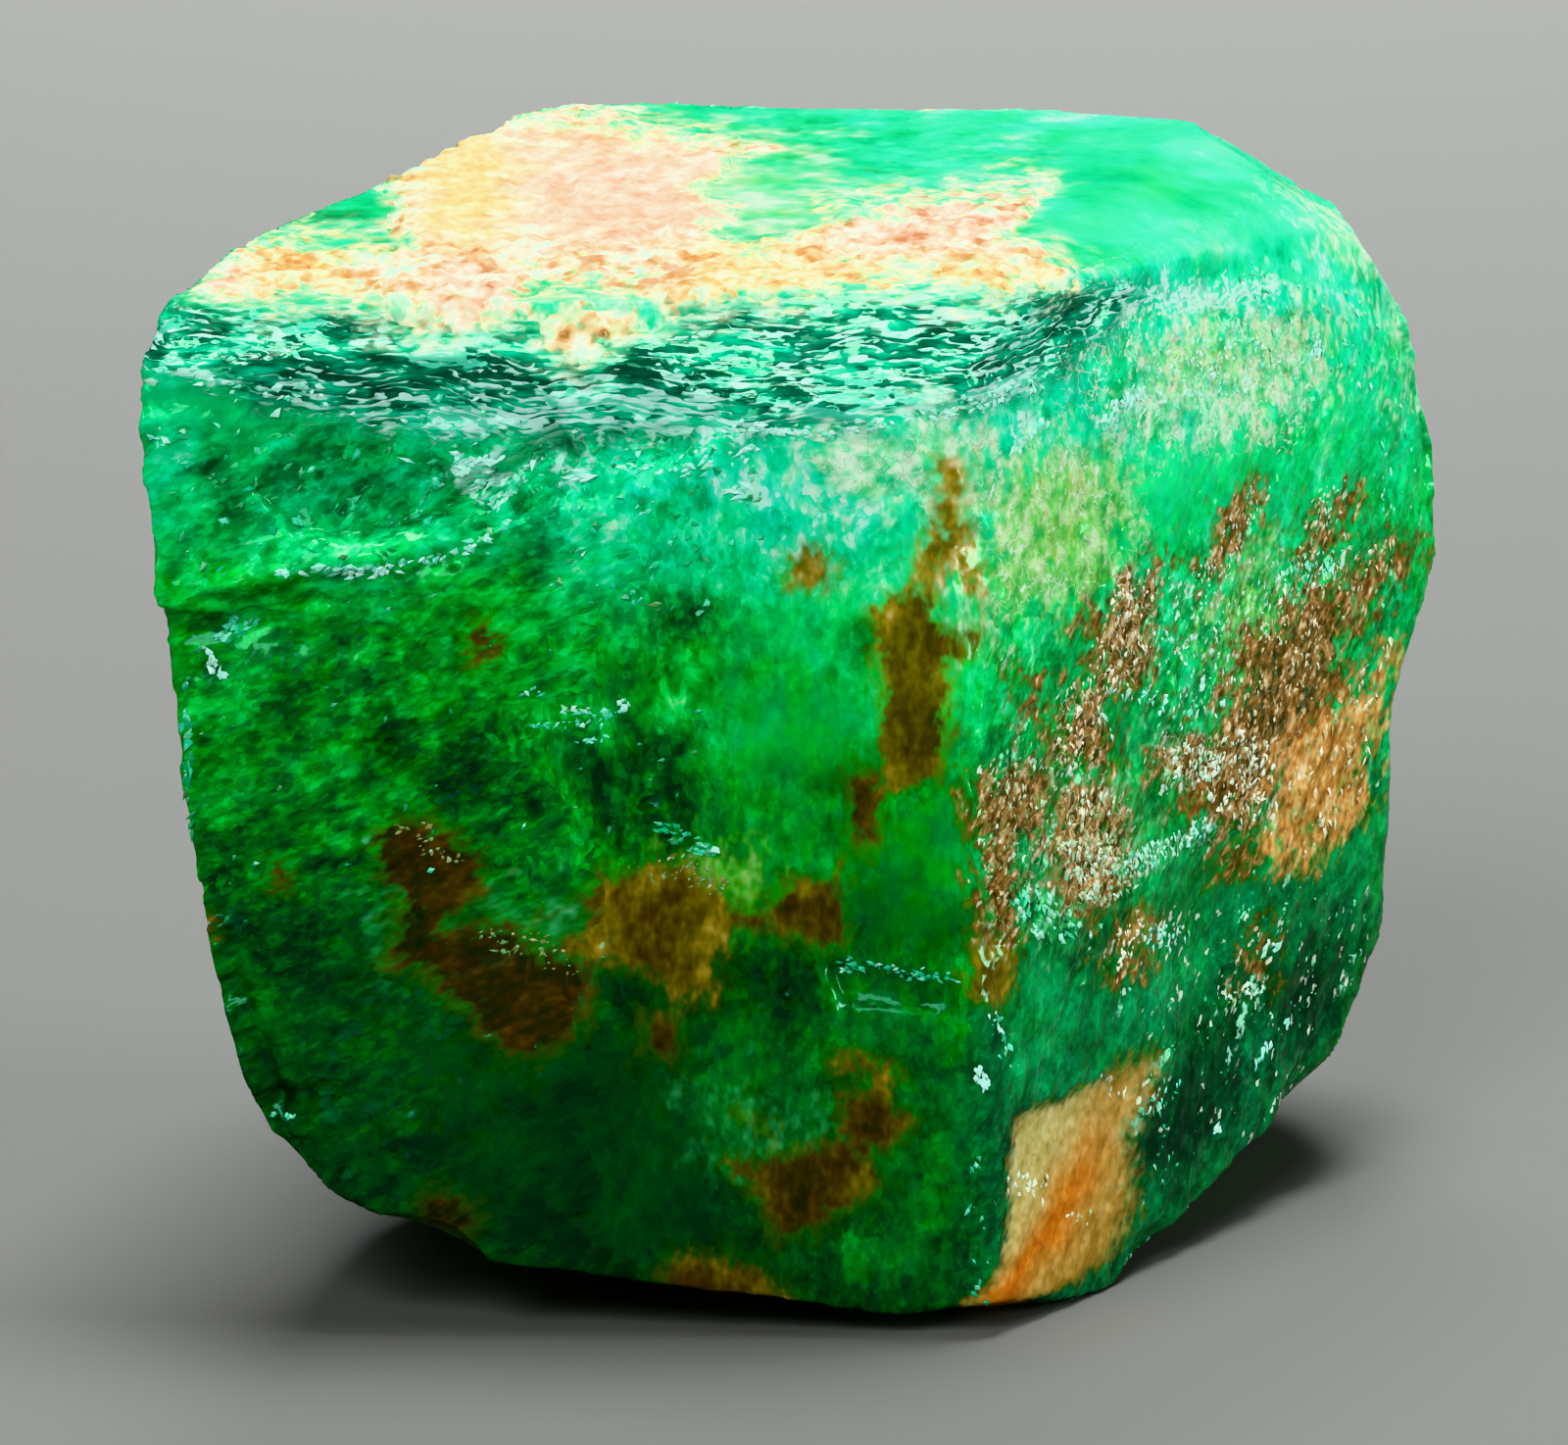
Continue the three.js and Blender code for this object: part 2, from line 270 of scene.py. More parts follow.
# Where the stone is full of small grains, and how full, from 0 to 1
GRAINY = (
    ([(1118, 640), (1140, 596), (1188, 574), (1188, 640), (1164, 700), (1120, 706)], 0.9),
    ([(1068, 780), (1090, 700), (1134, 690), (1134, 780), (1110, 800)], 0.85),
    ([(996, 790), (1040, 752), (1074, 780), (1076, 860), (1040, 960), (1000, 960)], 0.7),
    ([(1076, 800), (1150, 800), (1166, 880), (1130, 930), (1080, 940)], 0.95),
    ([(1176, 748), (1262, 745), (1262, 790), (1215, 806), (1176, 800)], 0.9),
    ([(1130, 893), (1200, 850), (1240, 828), (1275, 850), (1210, 870), (1160, 905)], 0.9),
    ([(1225, 590), (1262, 520), (1290, 490), (1290, 530), (1250, 600)], 0.6),
    ([(1320, 570), (1345, 495), (1376, 488), (1366, 540), (1335, 580)], 0.6),
    ([(1190, 600), (1300, 560), (1380, 550), (1440, 540), (1400, 620), (1350, 720), (1300, 760), (1240, 770),
      (1200, 720)], 0.62),
    ([(1240, 760), (1330, 700), (1330, 760), (1300, 850), (1240, 850)], 0.75),
    ([(1130, 930), (1300, 930), (1300, 1000), (1200, 1010), (1120, 1000)], 0.45),
    ([(1160, 960), (1400, 900), (1380, 1040), (1260, 1180), (1160, 1140)], 0.30),
    ([(1080, 350), (1170, 315), (1330, 315), (1350, 380), (1330, 450), (1180, 460), (1110, 430)], 0.40),
    ([(820, 450), (1000, 430), (1140, 460), (1140, 600), (1010, 610), (950, 520), (840, 515)], 0.25),
)

# Busy stone, full of flakes, and calm stone
BUSY = [
    [(150, 430), (560, 440), (860, 440), (900, 560), (740, 620), (720, 880), (500, 900), (200, 1000),
     (180, 700)],
    [(1140, 330), (1360, 320), (1340, 420), (1180, 450), (1040, 430)],
    [(1010, 640), (1190, 560), (1440, 520), (1400, 820), (1240, 900), (1120, 960), (1000, 980)],
]
CALM = [
    [(146, 396), (205, 388), (270, 418), (298, 448), (240, 488), (214, 448)],
    [(1128, 713), (1174, 716), (1172, 756), (1140, 762)],
    [(1143, 932), (1165, 895), (1230, 862), (1290, 860), (1300, 900), (1240, 925)],
    [(1159, 792), (1205, 790), (1200, 838), (1170, 835)],
    [(740, 700), (860, 700), (880, 790), (760, 790)],
    [(860, 840), (985, 800), (985, 960), (880, 960)],
    [(420, 1050), (700, 1060), (760, 1280), (480, 1260)],
    [(430, 140), (520, 108), (700, 128), (750, 155), (900, 205), (840, 232), (700, 238), (520, 248),
     (420, 250)],
    [(1150, 470), (1260, 420), (1300, 470), (1230, 540), (1180, 560)],
    [(1060, 110), (1300, 130), (1400, 240), (1240, 270), (1080, 240)],
]

# How rare each kind of mark is where the photograph doesn't show the stone: more is rarer
HIDDEN_LEVELS = {
    "brown": 0.52, "streak_brown": 0.60, "orange": 0.85, "ochre": 0.75, "haze": 0.50, "olive": 0.48,
    "dark": 0.25, "yellow": -0.1, "pink": 0.0, "rust": 0.5, "painted_glare": 0.6,
}

# Facets of the broken surface: an outline, how far its floor lies out (mm), and how much it rises
# to the right and upwards (mm for each mm)
FACETS = (
    ([(147, 396), (205, 390), (265, 414), (292, 440), (255, 470), (210, 492),
      (158, 482)], -0.04, -0.10, 0.02),
    ([(285, 455), (430, 440), (545, 452), (520, 490), (440, 525), (360, 548), (300, 540), (262, 500)],
     -0.05, 0.03, 0.14),
    ([(205, 602), (255, 562), (330, 545), (420, 522), (520, 470), (565, 440), (600, 450), (545, 520),
      (485, 553), (400, 577), (330, 580), (255, 602)], -0.02, 0.0, -0.45),
    ([(186, 640), (320, 604), (400, 640), (300, 700), (205, 706)], -0.03, 0.0, -0.18),
    ([(560, 452), (640, 440), (740, 440), (700, 480), (620, 520), (575, 500)], -0.05, 0.12, -0.22),
    ([(256, 1112), (344, 1106), (350, 1150), (270, 1156)], -0.02, 0.0, -0.40),
    ([(1177, 1078), (1113, 1108), (1038, 1142), (1032, 1194), (1029, 1255), (1006, 1316), (1061, 1319),
      (1125, 1286), (1156, 1224), (1150, 1154)], -0.03, 0.05, -0.05),
    ([(1126, 712), (1192, 708), (1195, 765), (1160, 792), (1128, 776)], -0.03, 0.0, 0.0),
    ([(852, 984), (975, 998), (990, 1090), (940, 1110), (860, 1060)], -0.05, 0.06, 0.0),
    ([(930, 352), (960, 330), (1003, 345), (985, 364), (945, 364)], -0.07, 0.1, 0.2),
)

# Painted glows, where light gathers in the stone: a pixel, a radius in mm and how much brighter it is there
GLOWS = [
    (1190, 180, 2.2, 0.04), (1400, 430, 1.3, 0.04), (830, 530, 1.2, 0.20), (840, 690, 0.9, 0.04),
    (250, 600, 0.7, 0.06), (1180, 600, 1.2, 0.08), (520, 1180, 1.6, -0.05),
]

# Smaller light and dark places in the green, painted highlights and shade among them: a pixel, half
# the length and half the width there in pixels, how far its length is turned up from level (degrees),
# and how much brighter it is
TINTS = (
    # The broken upper left
    (172, 470, 20, 44, 0, 0.12), (196, 500, 16, 20, 0, 0.10),
    (222, 492, 20, 26, 0, -0.20), (350, 486, 96, 26, 4, -0.04),
    (380, 552, 92, 24, 8, 0.04), (438, 508, 12, 32, -30, 0.12), (470, 540, 30, 26, 30, 0.08),
    (236, 582, 50, 22, 25, 0.12), (238, 640, 40, 14, 32, 0.10), (500, 440, 60, 14, 8, 0.06),
    (555, 610, 18, 60, 0, -0.08), (172, 620, 9, 90, -8, -0.10), (540, 470, 20, 50, -35, 0.08),
    # The left body
    (275, 727, 34, 15, 0, -0.06), (346, 744, 12, 30, 0, -0.08), (408, 752, 32, 26, 0, -0.12),
    (466, 734, 22, 20, 0, -0.14), (452, 800, 5, 28, 0, -0.12), (520, 796, 50, 22, -20, -0.12),
    (607, 784, 44, 34, 0, -0.14), (665, 770, 40, 24, 0, -0.06), (690, 820, 24, 40, 0, -0.10),
    (525, 722, 56, 16, 0, 0.04), (280, 795, 90, 34, 0, 0.12), (352, 800, 13, 14, 0, 0.14),
    (351, 815, 9, 5, 0, 0.22), (326, 715, 10, 7, 30, 0.12), (440, 757, 6, 18, 0, 0.16),
    (418, 728, 24, 4, 0, 0.14), (480, 850, 60, 16, -12, 0.08), (560, 870, 50, 18, 0, 0.08),
    (230, 900, 30, 60, 0, -0.06), (300, 960, 80, 50, 0, -0.09), (300, 730, 60, 40, 0, 0.05),
    (187, 800, 6, 120, 0, 0.10),
    (560, 650, 24, 50, 0, -0.08), (625, 655, 60, 30, 0, -0.10), (572, 660, 7, 7, 0, 0.20),
    (592, 678, 8, 8, 0, 0.20), (548, 690, 7, 6, 0, 0.16), (600, 640, 10, 7, 30, 0.14),
    (648, 664, 9, 7, 0, 0.16), (560, 842, 26, 10, 0, 0.08), (640, 870, 40, 10, -10, 0.06),
    # The middle
    (678, 720, 26, 22, 0, 0.26), (690, 712, 9, 7, 20, 0.20), (666, 742, 9, 7, 0, 0.18),
    (698, 634, 34, 28, 0, -0.16), (610, 560, 44, 30, 0, 0.10), (618, 548, 10, 12, 0, 0.14),
    (622, 588, 12, 12, 0, 0.12), (575, 576, 16, 14, 0, 0.12), (586, 520, 6, 24, 0, 0.12),
    (760, 540, 60, 30, 0, 0.10), (780, 485, 70, 24, 0, 0.08), (736, 600, 30, 14, 20, 0.10),
    (800, 680, 80, 60, 0, -0.05), (882, 656, 16, 14, 30, -0.16), (830, 640, 12, 10, 0, -0.08),
    (870, 520, 40, 20, 0, 0.08), (880, 590, 30, 20, 0, 0.06), (800, 760, 70, 40, 0, 0.05),
    (845, 795, 34, 10, 0, -0.12), (800, 870, 60, 26, 0, 0.05), (930, 860, 40, 50, 0, 0.07),
    (880, 560, 90, 20, 0, 0.04), (960, 740, 24, 60, 0, 0.04), (730, 910, 60, 30, 0, 0.08),
    # The right
    (1230, 450, 90, 30, 20, 0.08), (1400, 440, 50, 60, 0, -0.04), (1040, 690, 40, 70, 0, 0.08),
    (1100, 640, 16, 60, -25, -0.06), (1200, 620, 16, 70, -25, 0.06), (1155, 742, 34, 30, 0, -0.04),
    (1182, 814, 20, 24, 0, -0.10), (1220, 895, 66, 22, 30, -0.04), (1460, 500, 8, 120, 0, -0.14),
    (1100, 1010, 60, 40, 20, 0.12), (1060, 1090, 40, 30, 0, 0.12), (1200, 1000, 80, 20, 30, 0.10),
    (1330, 1010, 60, 50, 40, -0.14), (1240, 1120, 80, 60, 40, -0.12), (1190, 1090, 30, 20, 20, 0.08),
    (1290, 1060, 50, 10, 45, 0.08), (1120, 960, 50, 16, 30, -0.08), (1380, 1050, 16, 60, 30, -0.08),
    (1180, 1180, 60, 50, 40, -0.06), (1370, 940, 50, 70, 30, -0.10), (1020, 1060, 10, 60, 0, -0.10),
    # The top
    (1130, 180, 60, 22, 10, -0.16), (1235, 205, 70, 16, 0, -0.15), (1120, 260, 60, 12, 0, -0.12),
    (1185, 222, 26, 12, 0, 0.10), (1340, 218, 24, 14, 0, 0.10), (1250, 150, 50, 14, 0, 0.08),
    (1090, 128, 70, 12, 0, 0.06), (1390, 230, 20, 30, -40, 0.12), (1270, 262, 60, 10, 0, 0.08),
    (1300, 180, 40, 12, 20, -0.10), (1440, 330, 20, 40, 0, 0.05), (1400, 300, 26, 30, 0, -0.08),
    (1330, 250, 40, 10, 0, -0.08), (1060, 160, 40, 14, 20, -0.08),
    # The foot
    (800, 1004, 60, 44, 0, -0.06), (915, 1050, 60, 34, 0, 0.08), (640, 1130, 80, 60, 0, -0.04),
    (900, 1290, 80, 30, 0, 0.08), (960, 1180, 40, 80, 0, 0.06), (300, 1130, 40, 14, 0, 0.10),
    (930, 1260, 60, 60, 0, 0.05), (800, 520, 90, 50, 0, 0.06),
    (440, 1190, 50, 70, 0, -0.05), (1180, 1290, 60, 40, 40, 0.02), (560, 1240, 80, 50, 0, -0.04),
)

# Small sharp chips that catch the light, pale as painted glints and as grains: where they lie (an
# outline or a line, in pixels), how far they stray from a line (pixels), how many, how long (pixels),
# how far turned up from level (degrees), how cream rather than mint (0 to 1) and how bright (0 to 1)
CHIP_LINES = (
    ([(284, 584), (330, 580), (390, 578), (440, 572), (470, 565), (497, 550),
      (519, 531)], 2, 70, 9, 8, 0, 0.7),
    ([(338, 584), (372, 585), (405, 584)], 3, 34, 9, 5, 0, 1.0),
    ([(500, 522), (530, 490), (560, 452)], 4, 50, 9, 50, 0, 0.7),
    ([(423, 530), (436, 500), (455, 484)], 2, 16, 8, 60, 0, 0.5),
    ([(204, 662), (214, 670), (226, 688)], 3, 16, 9, -50, 0, 1.0),
    ([(160, 440), (168, 455)], 3, 8, 8, -40, 0, 0.9),
    ([(571, 725), (605, 727), (638, 731)], 2, 20, 7, -4, 0, 0.6),
    ([(541, 742), (575, 737), (614, 738)], 2, 18, 6, 20, 0, 0.6),
    ([(588, 757), (621, 752)], 1, 12, 7, 8, 0, 0.8),
    ([(535, 703), (552, 706)], 3, 5, 6, 10, 0, 0.7),
    ([(632, 724), (640, 714)], 2, 6, 6, 70, 0, 0.9),
    ([(669, 841), (700, 855), (726, 871)], 5, 30, 8, -20, 0, 0.25),
    ([(718, 864), (730, 868)], 2, 6, 8, -10, 0, 0.9),
    ([(852, 984), (900, 988), (975, 999)], 3, 46, 7, -8, 0, 0.45),
    ([(256, 1138), (300, 1136)], 3, 8, 7, 0, 0, 0.6),
    ([(189, 690), (191, 800), (196, 930)], 2, 60, 9, 88, 0, 0.2),
    ([(1130, 704), (1155, 710), (1180, 712)], 3, 30, 6, 70, 0.1, 0.9),
    ([(1124, 728), (1131, 742), (1136, 752)], 1, 8, 8, -60, 0.1, 0.8),
    ([(1184, 640), (1192, 648), (1196, 656)], 1, 7, 8, -50, 0.1, 0.8),
    ([(1299, 1052), (1315, 1043)], 2, 5, 9, 40, 0, 0.8),
    ([(1278, 1088), (1297, 1062)], 2, 9, 9, 45, 0, 0.9),
    ([(1169, 1130), (1187, 1120), (1206, 1112)], 6, 18, 6, 40, 0, 0.6),
    ([(1234, 1156), (1244, 1151)], 2, 4, 9, 40, 0, 0.9),
    ([(1259, 1018), (1270, 1012), (1284, 1010)], 4, 14, 9, 20, 0.4, 0.7),
    ([(1290, 972), (1303, 965)], 4, 8, 10, 40, 0.2, 0.9),
    ([(998, 1084), (1003, 1108)], 3, 14, 9, -70, 0, 1.0),
    ([(992, 1180), (1000, 1330)], 4, 16, 6, 85, 0, 0.25),
    ([(1015, 1030), (1024, 1060), (1034, 1090)], 4, 20, 7, -60, 0, 0.6),
    ([(1033, 1208), (1065, 1214)], 6, 26, 7, 80, 0.7, 0.9),
    ([(1128, 1100), (1140, 1118)], 5, 9, 6, 60, 0.6, 0.8),
    ([(1090, 1240), (1110, 1246)], 4, 8, 5, 30, 0.7, 0.6),
    ([(742, 437), (838, 441), (930, 430), (1010, 408), (1060, 398)], 4, 110, 9, 6, 0, 0.9),
    ([(1038, 458), (1052, 442), (1066, 430)], 3, 26, 9, 45, 0, 1.0),
    ([(1120, 434), (1140, 414), (1166, 396)], 4, 26, 9, 40, 0, 0.9),
    ([(1340, 366), (1352, 352)], 3, 10, 9, 50, 0, 0.9),
    ([(165, 380), (250, 388), (330, 406), (420, 426), (520, 430), (600, 432)], 11, 60, 8, 10, 0, 0.8),
)
CHIP_AREAS = (
    ([(462, 462), (514, 460), (516, 505), (472, 510)], 46, 10, 30, 0, 1.0),
    ([(582, 480), (600, 474), (602, 492), (584, 496)], 9, 16, 10, 0, 1.0),
    ([(742, 494), (762, 490), (762, 508), (746, 506)], 8, 15, 10, 0, 1.0),
    ([(640, 450), (760, 450), (800, 470), (700, 490), (620, 480)], 60, 8, 10, 0, 0.7),
    ([(212, 655), (240, 628), (268, 628), (244, 652)], 26, 10, 35, 0, 0.4),
    ([(190, 600), (560, 600), (720, 620), (720, 880), (500, 900), (210, 950)], 50, 6, 25, 0, 0.05),
    ([(560, 440), (760, 445), (800, 520), (720, 640), (560, 600)], 90, 8, 40, 0, 0.25),
    ([(150, 430), (560, 450), (540, 560), (200, 600)], 80, 9, 25, 0, 0.30),
    ([(400, 840), (440, 840), (480, 880), (450, 880), (410, 860)], 30, 5, 20, 0.6, 0.10),
    ([(480, 945), (560, 950), (610, 990), (580, 1000), (500, 970)], 46, 5, 20, 0.5, 0.15),
    ([(640, 885), (700, 868), (745, 895), (740, 920), (690, 900)], 46, 5, 40, 0.5, 0.12),
    ([(1138, 593), (1187, 578), (1184, 621), (1169, 667), (1159, 703), (1131, 713), (1123, 739), (1123, 769),
      (1097, 784), (1072, 764), (1082, 723), (1102, 682), (1123, 637)], 130, 6, 60, 0.9, 0.8),
    ([(1077, 861), (1120, 850), (1164, 880), (1160, 905), (1130, 925), (1095, 915)], 150, 8, -50, 0.55, 0.6),
    ([(1130, 893), (1160, 868), (1200, 850), (1235, 828), (1245, 845), (1205, 868),
      (1165, 890)], 110, 7, 70, 0.2, 0.7),
    ([(1174, 647), (1235, 640), (1262, 690), (1235, 745), (1180, 745), (1165, 700)], 60, 6, 60, 0.1, 0.8),
    ([(1179, 765), (1215, 757), (1250, 770), (1245, 795), (1205, 800)], 70, 7, 50, 0.5, 0.7),
    ([(1168, 948), (1205, 940), (1218, 955), (1190, 972), (1168, 966)], 50, 6, 50, 0, 0.9),
    ([(1031, 759), (1045, 800), (1035, 860), (1020, 930), (1000, 925), (995, 830),
      (1010, 790)], 60, 7, 60, 0.7, 0.5),
    ([(1100, 800), (1140, 815), (1133, 879), (1110, 892), (1085, 850)], 70, 8, 60, 0.7, 0.6),
    ([(1040, 770), (1100, 780), (1080, 850), (1050, 870)], 40, 7, 60, 0.6, 0.5),
    ([(1030, 920), (1060, 900), (1090, 930), (1120, 960), (1060, 960)], 60, 8, -50, 0.1, 0.5),
    ([(1255, 520), (1276, 495), (1290, 510), (1262, 568), (1235, 600), (1228, 585)], 60, 5, 60, 0.6, 0.7),
    ([(1345, 495), (1372, 490), (1365, 530), (1330, 575), (1318, 565)], 46, 5, 60, 0.5, 0.6),
    ([(1300, 590), (1314, 570), (1368, 560), (1378, 575), (1340, 600)], 60, 7, 60, 0.1, 0.7),
    ([(1310, 600), (1380, 560), (1430, 545), (1420, 575), (1385, 610), (1360, 655), (1350, 685), (1325, 720),
      (1290, 745), (1265, 760), (1262, 690), (1290, 640)], 190, 6, 60, 0.9, 0.5),
    ([(1215, 770), (1262, 745), (1300, 760), (1300, 800), (1275, 850), (1240, 825),
      (1215, 800)], 150, 7, 50, 0.7, 0.8),
    ([(1190, 590), (1260, 560), (1330, 600), (1300, 660), (1230, 680), (1195, 650)], 80, 5, 60, 0.2, 0.8),
    ([(1421, 649), (1400, 742), (1385, 825), (1331, 876), (1305, 873), (1325, 759)], 130, 8, 60, 0.9, 0.45),
    ([(1140, 950), (1164, 936), (1168, 950), (1140, 1004)], 40, 6, 60, 0.8, 0.8),
    ([(1160, 1010), (1330, 960), (1380, 1000), (1300, 1110), (1200, 1230), (1170, 1180),
      (1180, 1080)], 40, 5, 45, 0, 0.20),
    ([(1250, 900), (1330, 890), (1380, 930), (1330, 960), (1260, 940)], 26, 5, 55, 0.1, 0.25),
    ([(1180, 352), (1265, 345), (1350, 335), (1350, 380), (1230, 410), (1150, 430)], 260, 6, 40, 0.15, 0.7),
    ([(1250, 280), (1340, 270), (1420, 330), (1440, 420), (1360, 380), (1300, 320)], 90, 7, -50, 0.1, 0.5),
    ([(1380, 420), (1450, 440), (1450, 540), (1400, 520)], 24, 7, 70, 0.1, 0.4),
)

# Chips on the hidden sides, and the shape of every chip
HIDDEN_CHIPS = 2600
HIDDEN_CHIP_ALONG = (0.5, 0.3, 0.8)  # the way that they lie, more or less
HIDDEN_CHIP_LENGTHS = (0.03, 0.09)  # mm
CHIP_SEED = 7
CHIP_WIDTH = 0.58  # of its length
CHIP_HEIGHT = 0.30  # of its length
WIDEST_CHIP = 0.036  # half the width, in mm

# The stone's finish
ROUGHNESS = 0.17  # of a prism face without stains
CLEARNESS = 0.12  # how much of the light goes in
REFRACTION = 1.58
REFLECTION = 0.22
REFLECTION_TINT = (0.25, 1.0, 0.60, 1)
LEFT_INSIDE = (10, 208, 60)  # the colour of light that has gone through it
ABSORPTION = 400  # for each metre

# Floor, room and lamps: lengths in metres, powers in watts
FLOOR_HALF = 0.6
FLOOR_COLOUR = (104, 106, 103)
FLOOR_ROUGHNESS = 0.8
ROOM_COLOUR = (0.5, 0.5, 0.5, 1)
ROOM_STRENGTH = 0.16
MIDDLE = (0, 0, 0.004)  # of the stone
BEHIND = (0, 0.11, 0)  # the floor that shows behind the stone

# Each lamp: name, place, width and height, power, what it points at and its spread in degrees
LAMPS = (
    ("overhead", (0.02, 0.03, 0.215), (0.08, 0.07), 0.60, MIDDLE, 180),
    ("key", (0.20, -0.02, 0.055), (0.06, 0.06), 0.30, MIDDLE, 180),
    ("front", (-0.06, -0.17, 0.15), (0.10, 0.10), 0.36, MIDDLE, 180),
    ("fill", (-0.20, -0.26, 0.14), (0.25, 0.25), 0.24, MIDDLE, 180),
    ("backdrop", (0, 0.17, 0.20), (0.08, 0.08), 0.11, BEHIND, 60),
)

# The stone is too full of inclusions for long paths of light to matter
BOUNCES = {"max_bounces": 5, "diffuse_bounces": 2, "glossy_bounces": 1, "transmission_bounces": 3}


# Numbers and noise

def unit(vector):
    return np.asarray(vector, float) / np.linalg.norm(vector)


def unit_rows(vectors):
    return vectors / np.linalg.norm(vectors, axis=1)[:, None]


def smooth(low, high, values):
    """0 at low, 1 at high and smooth between them."""
    t = np.clip((values - low) / (high - low), 0, 1)
    return t * t * (3 - 2 * t)


def hashed(cells, seed):
    """A scrambled whole number for each whole-numbered cell."""
    one, two, three = cells.astype(np.int64).T
    mixed = one * 73856093 ^ two * 19349663 ^ three * 83492791 ^ (seed + 1) * 2654435761
    mixed = (mixed & 0xFFFFFFFF).astype(np.uint32)
    for shift in (15, 12, 14):
        mixed = (mixed ^ (mixed >> np.uint32(shift))) * np.uint32(2246822519)
    return mixed ^ (mixed >> np.uint32(13))


def fractions(mixed):
    """Three numbers from -1 to 1 out of each scrambled one."""
    parts = [(mixed >> np.uint32(shift)) & np.uint32(1023) for shift in (0, 10, 20)]
    return np.stack(parts, axis=1) / 511.5 - 1


def noise(points, seed):
    """Smooth noise of about -1 to 1, with features about one unit wide."""
    cell = np.floor(points)
    inner = points - cell
    weight = inner * inner * inner * (inner * (inner * 6 - 15) + 10)
    total = np.zeros(len(points))
    for corner in product((0, 1), repeat=3):
        corner = np.array(corner)
        slope = fractions(hashed(cell + corner, seed))
        share = np.where(corner == 1, weight, 1 - weight).prod(axis=1)
        total += share * ((inner - corner) * slope).sum(axis=1)
    return 1.6 * total


def layered(points, octaves, seed):
    """Noise with finer noise on it."""
    total = np.zeros(len(points))
    for octave in range(octaves):
        total += noise(points * 2.03 ** octave, seed + octave) * 0.5 ** octave
    return total


def noises(points, seeds, octaves=1):
    """A noise for each seed, side by side."""
    return np.stack([layered(points, octaves, seed) for seed in seeds], axis=1)


def cells_around(points, seed):
    """For each cell in reach: the way from its scattered middle to the points, and its own numbers."""
    cell = np.floor(points)
    for step in product((-1, 0, 1), repeat=3):
        other = cell + np.array(step)
        numbers = fractions(hashed(other, seed))
        yield points - other - 0.5 - 0.45 * numbers, numbers


def bowls(points, seed):
    """Shallow bowls that meet in sharp ridges: 0 in the middle of a bowl and about 1 on a ridge."""
    return reduce(np.minimum, ((offset ** 2).sum(axis=1) for offset, _ in cells_around(points, seed)))


def flaked(points, scales, seed):
    """Small flat flakes, each tilted its own way."""
    shift = 0.5 * noises(points * 1.9, (seed + 1, seed + 2, seed + 3))
    nearest = np.full(len(points), np.inf)
    flakes = np.zeros(len(points))
    for offset, numbers in cells_around(points * scales + shift, seed):
        distance = (offset ** 2).sum(axis=1)
        closer = distance < nearest
        nearest[closer] = distance[closer]
        flakes[closer] = (offset * np.roll(numbers, 1, axis=1)).sum(axis=1)[closer]
    return flakes


def stretched(points, axes, scales):
    """Points measured along three directions, each in its own scale."""
    return np.stack([points @ unit(axis) * scale for axis, scale in zip(axes, scales)], axis=1)


# The camera and the photograph's frame

AHEAD = np.array([0, math.cos(ELEVATION), -math.sin(ELEVATION)])
UPWARD = np.array([0, math.sin(ELEVATION), math.cos(ELEVATION)])
EYE = AIM - AHEAD * DISTANCE


def pixels_of(points):
    """Where points, in mm, fall in the photograph."""
    offset = points - EYE
    depth = offset @ AHEAD
    across = PHOTO_WIDTH / 2 + FOCAL_PIXELS * offset[:, 0] / depth
    down = PHOTO_HEIGHT / 2 - FOCAL_PIXELS * (offset @ UPWARD) / depth
    return np.stack([across, down], axis=1)


def surface_hit(tree, pixel):
    """The point of the crystal, in mm, that a pixel of the photograph shows, and the way out of it there."""
    across = (pixel[0] - PHOTO_WIDTH / 2) / FOCAL_PIXELS
    down = (pixel[1] - PHOTO_HEIGHT / 2) / FOCAL_PIXELS
    ray = AHEAD + across * np.array([1, 0, 0]) - down * UPWARD
    place, out, _, _ = tree.ray_cast(Vector(EYE), Vector(unit(ray)))
    return (None, None) if place is None else (np.array(place), np.array(out))


def inside_by(outline, pixels):
    """How far each pixel lies inside an outline, in mm on the crystal; below 0 outside it."""
    nearest = np.full(len(pixels), np.inf)
    inside = np.zeros(len(pixels), bool)
    corners = np.array(outline, float)
    for start, end in zip(corners, np.roll(corners, -1, axis=0)):
        side = end - start
        offset = pixels - start
        along = np.clip(offset @ side / (side @ side), 0, 1)
        nearest = np.minimum(nearest, np.hypot(*(offset - along[:, None] * side).T))
        crosses = (start[1] > pixels[:, 1]) != (end[1] > pixels[:, 1])
        if side[1] != 0:
            inside ^= crosses & (pixels[:, 0] < start[0] + side[0] * (pixels[:, 1] - start[1]) / side[1])
    return np.where(inside, nearest, -nearest) / PIXELS_PER_MM


def deepest(outlines, pixels):
    """The most that each pixel lies inside any of the outlines."""
    return np.max([inside_by(outline, pixels) for outline in outlines], axis=0)


def new_object(name, data):
    """An object in the scene that holds the data."""
    made = bpy.data.objects.new(name, data)
    bpy.context.collection.objects.link(made)
    return made


def make_camera():
    camera = new_object("camera", bpy.data.cameras.new("camera"))
    camera.data.sensor_width = SENSOR_WIDTH
    camera.data.lens = SENSOR_WIDTH * FOCAL_PIXELS / PHOTO_WIDTH
    camera.data.clip_start = 0.002
    camera.data.clip_end = 10
    camera.location = EYE * MM
    camera.rotation_euler = (math.pi / 2 - ELEVATION, 0, 0)
    bpy.context.scene.camera = camera


# Meshes

def points_of(mesh):
    values = np.empty(len(mesh.vertices) * 3, np.float32)
    mesh.vertices.foreach_get("co", values)
    return values.reshape(-1, 3).astype(float)


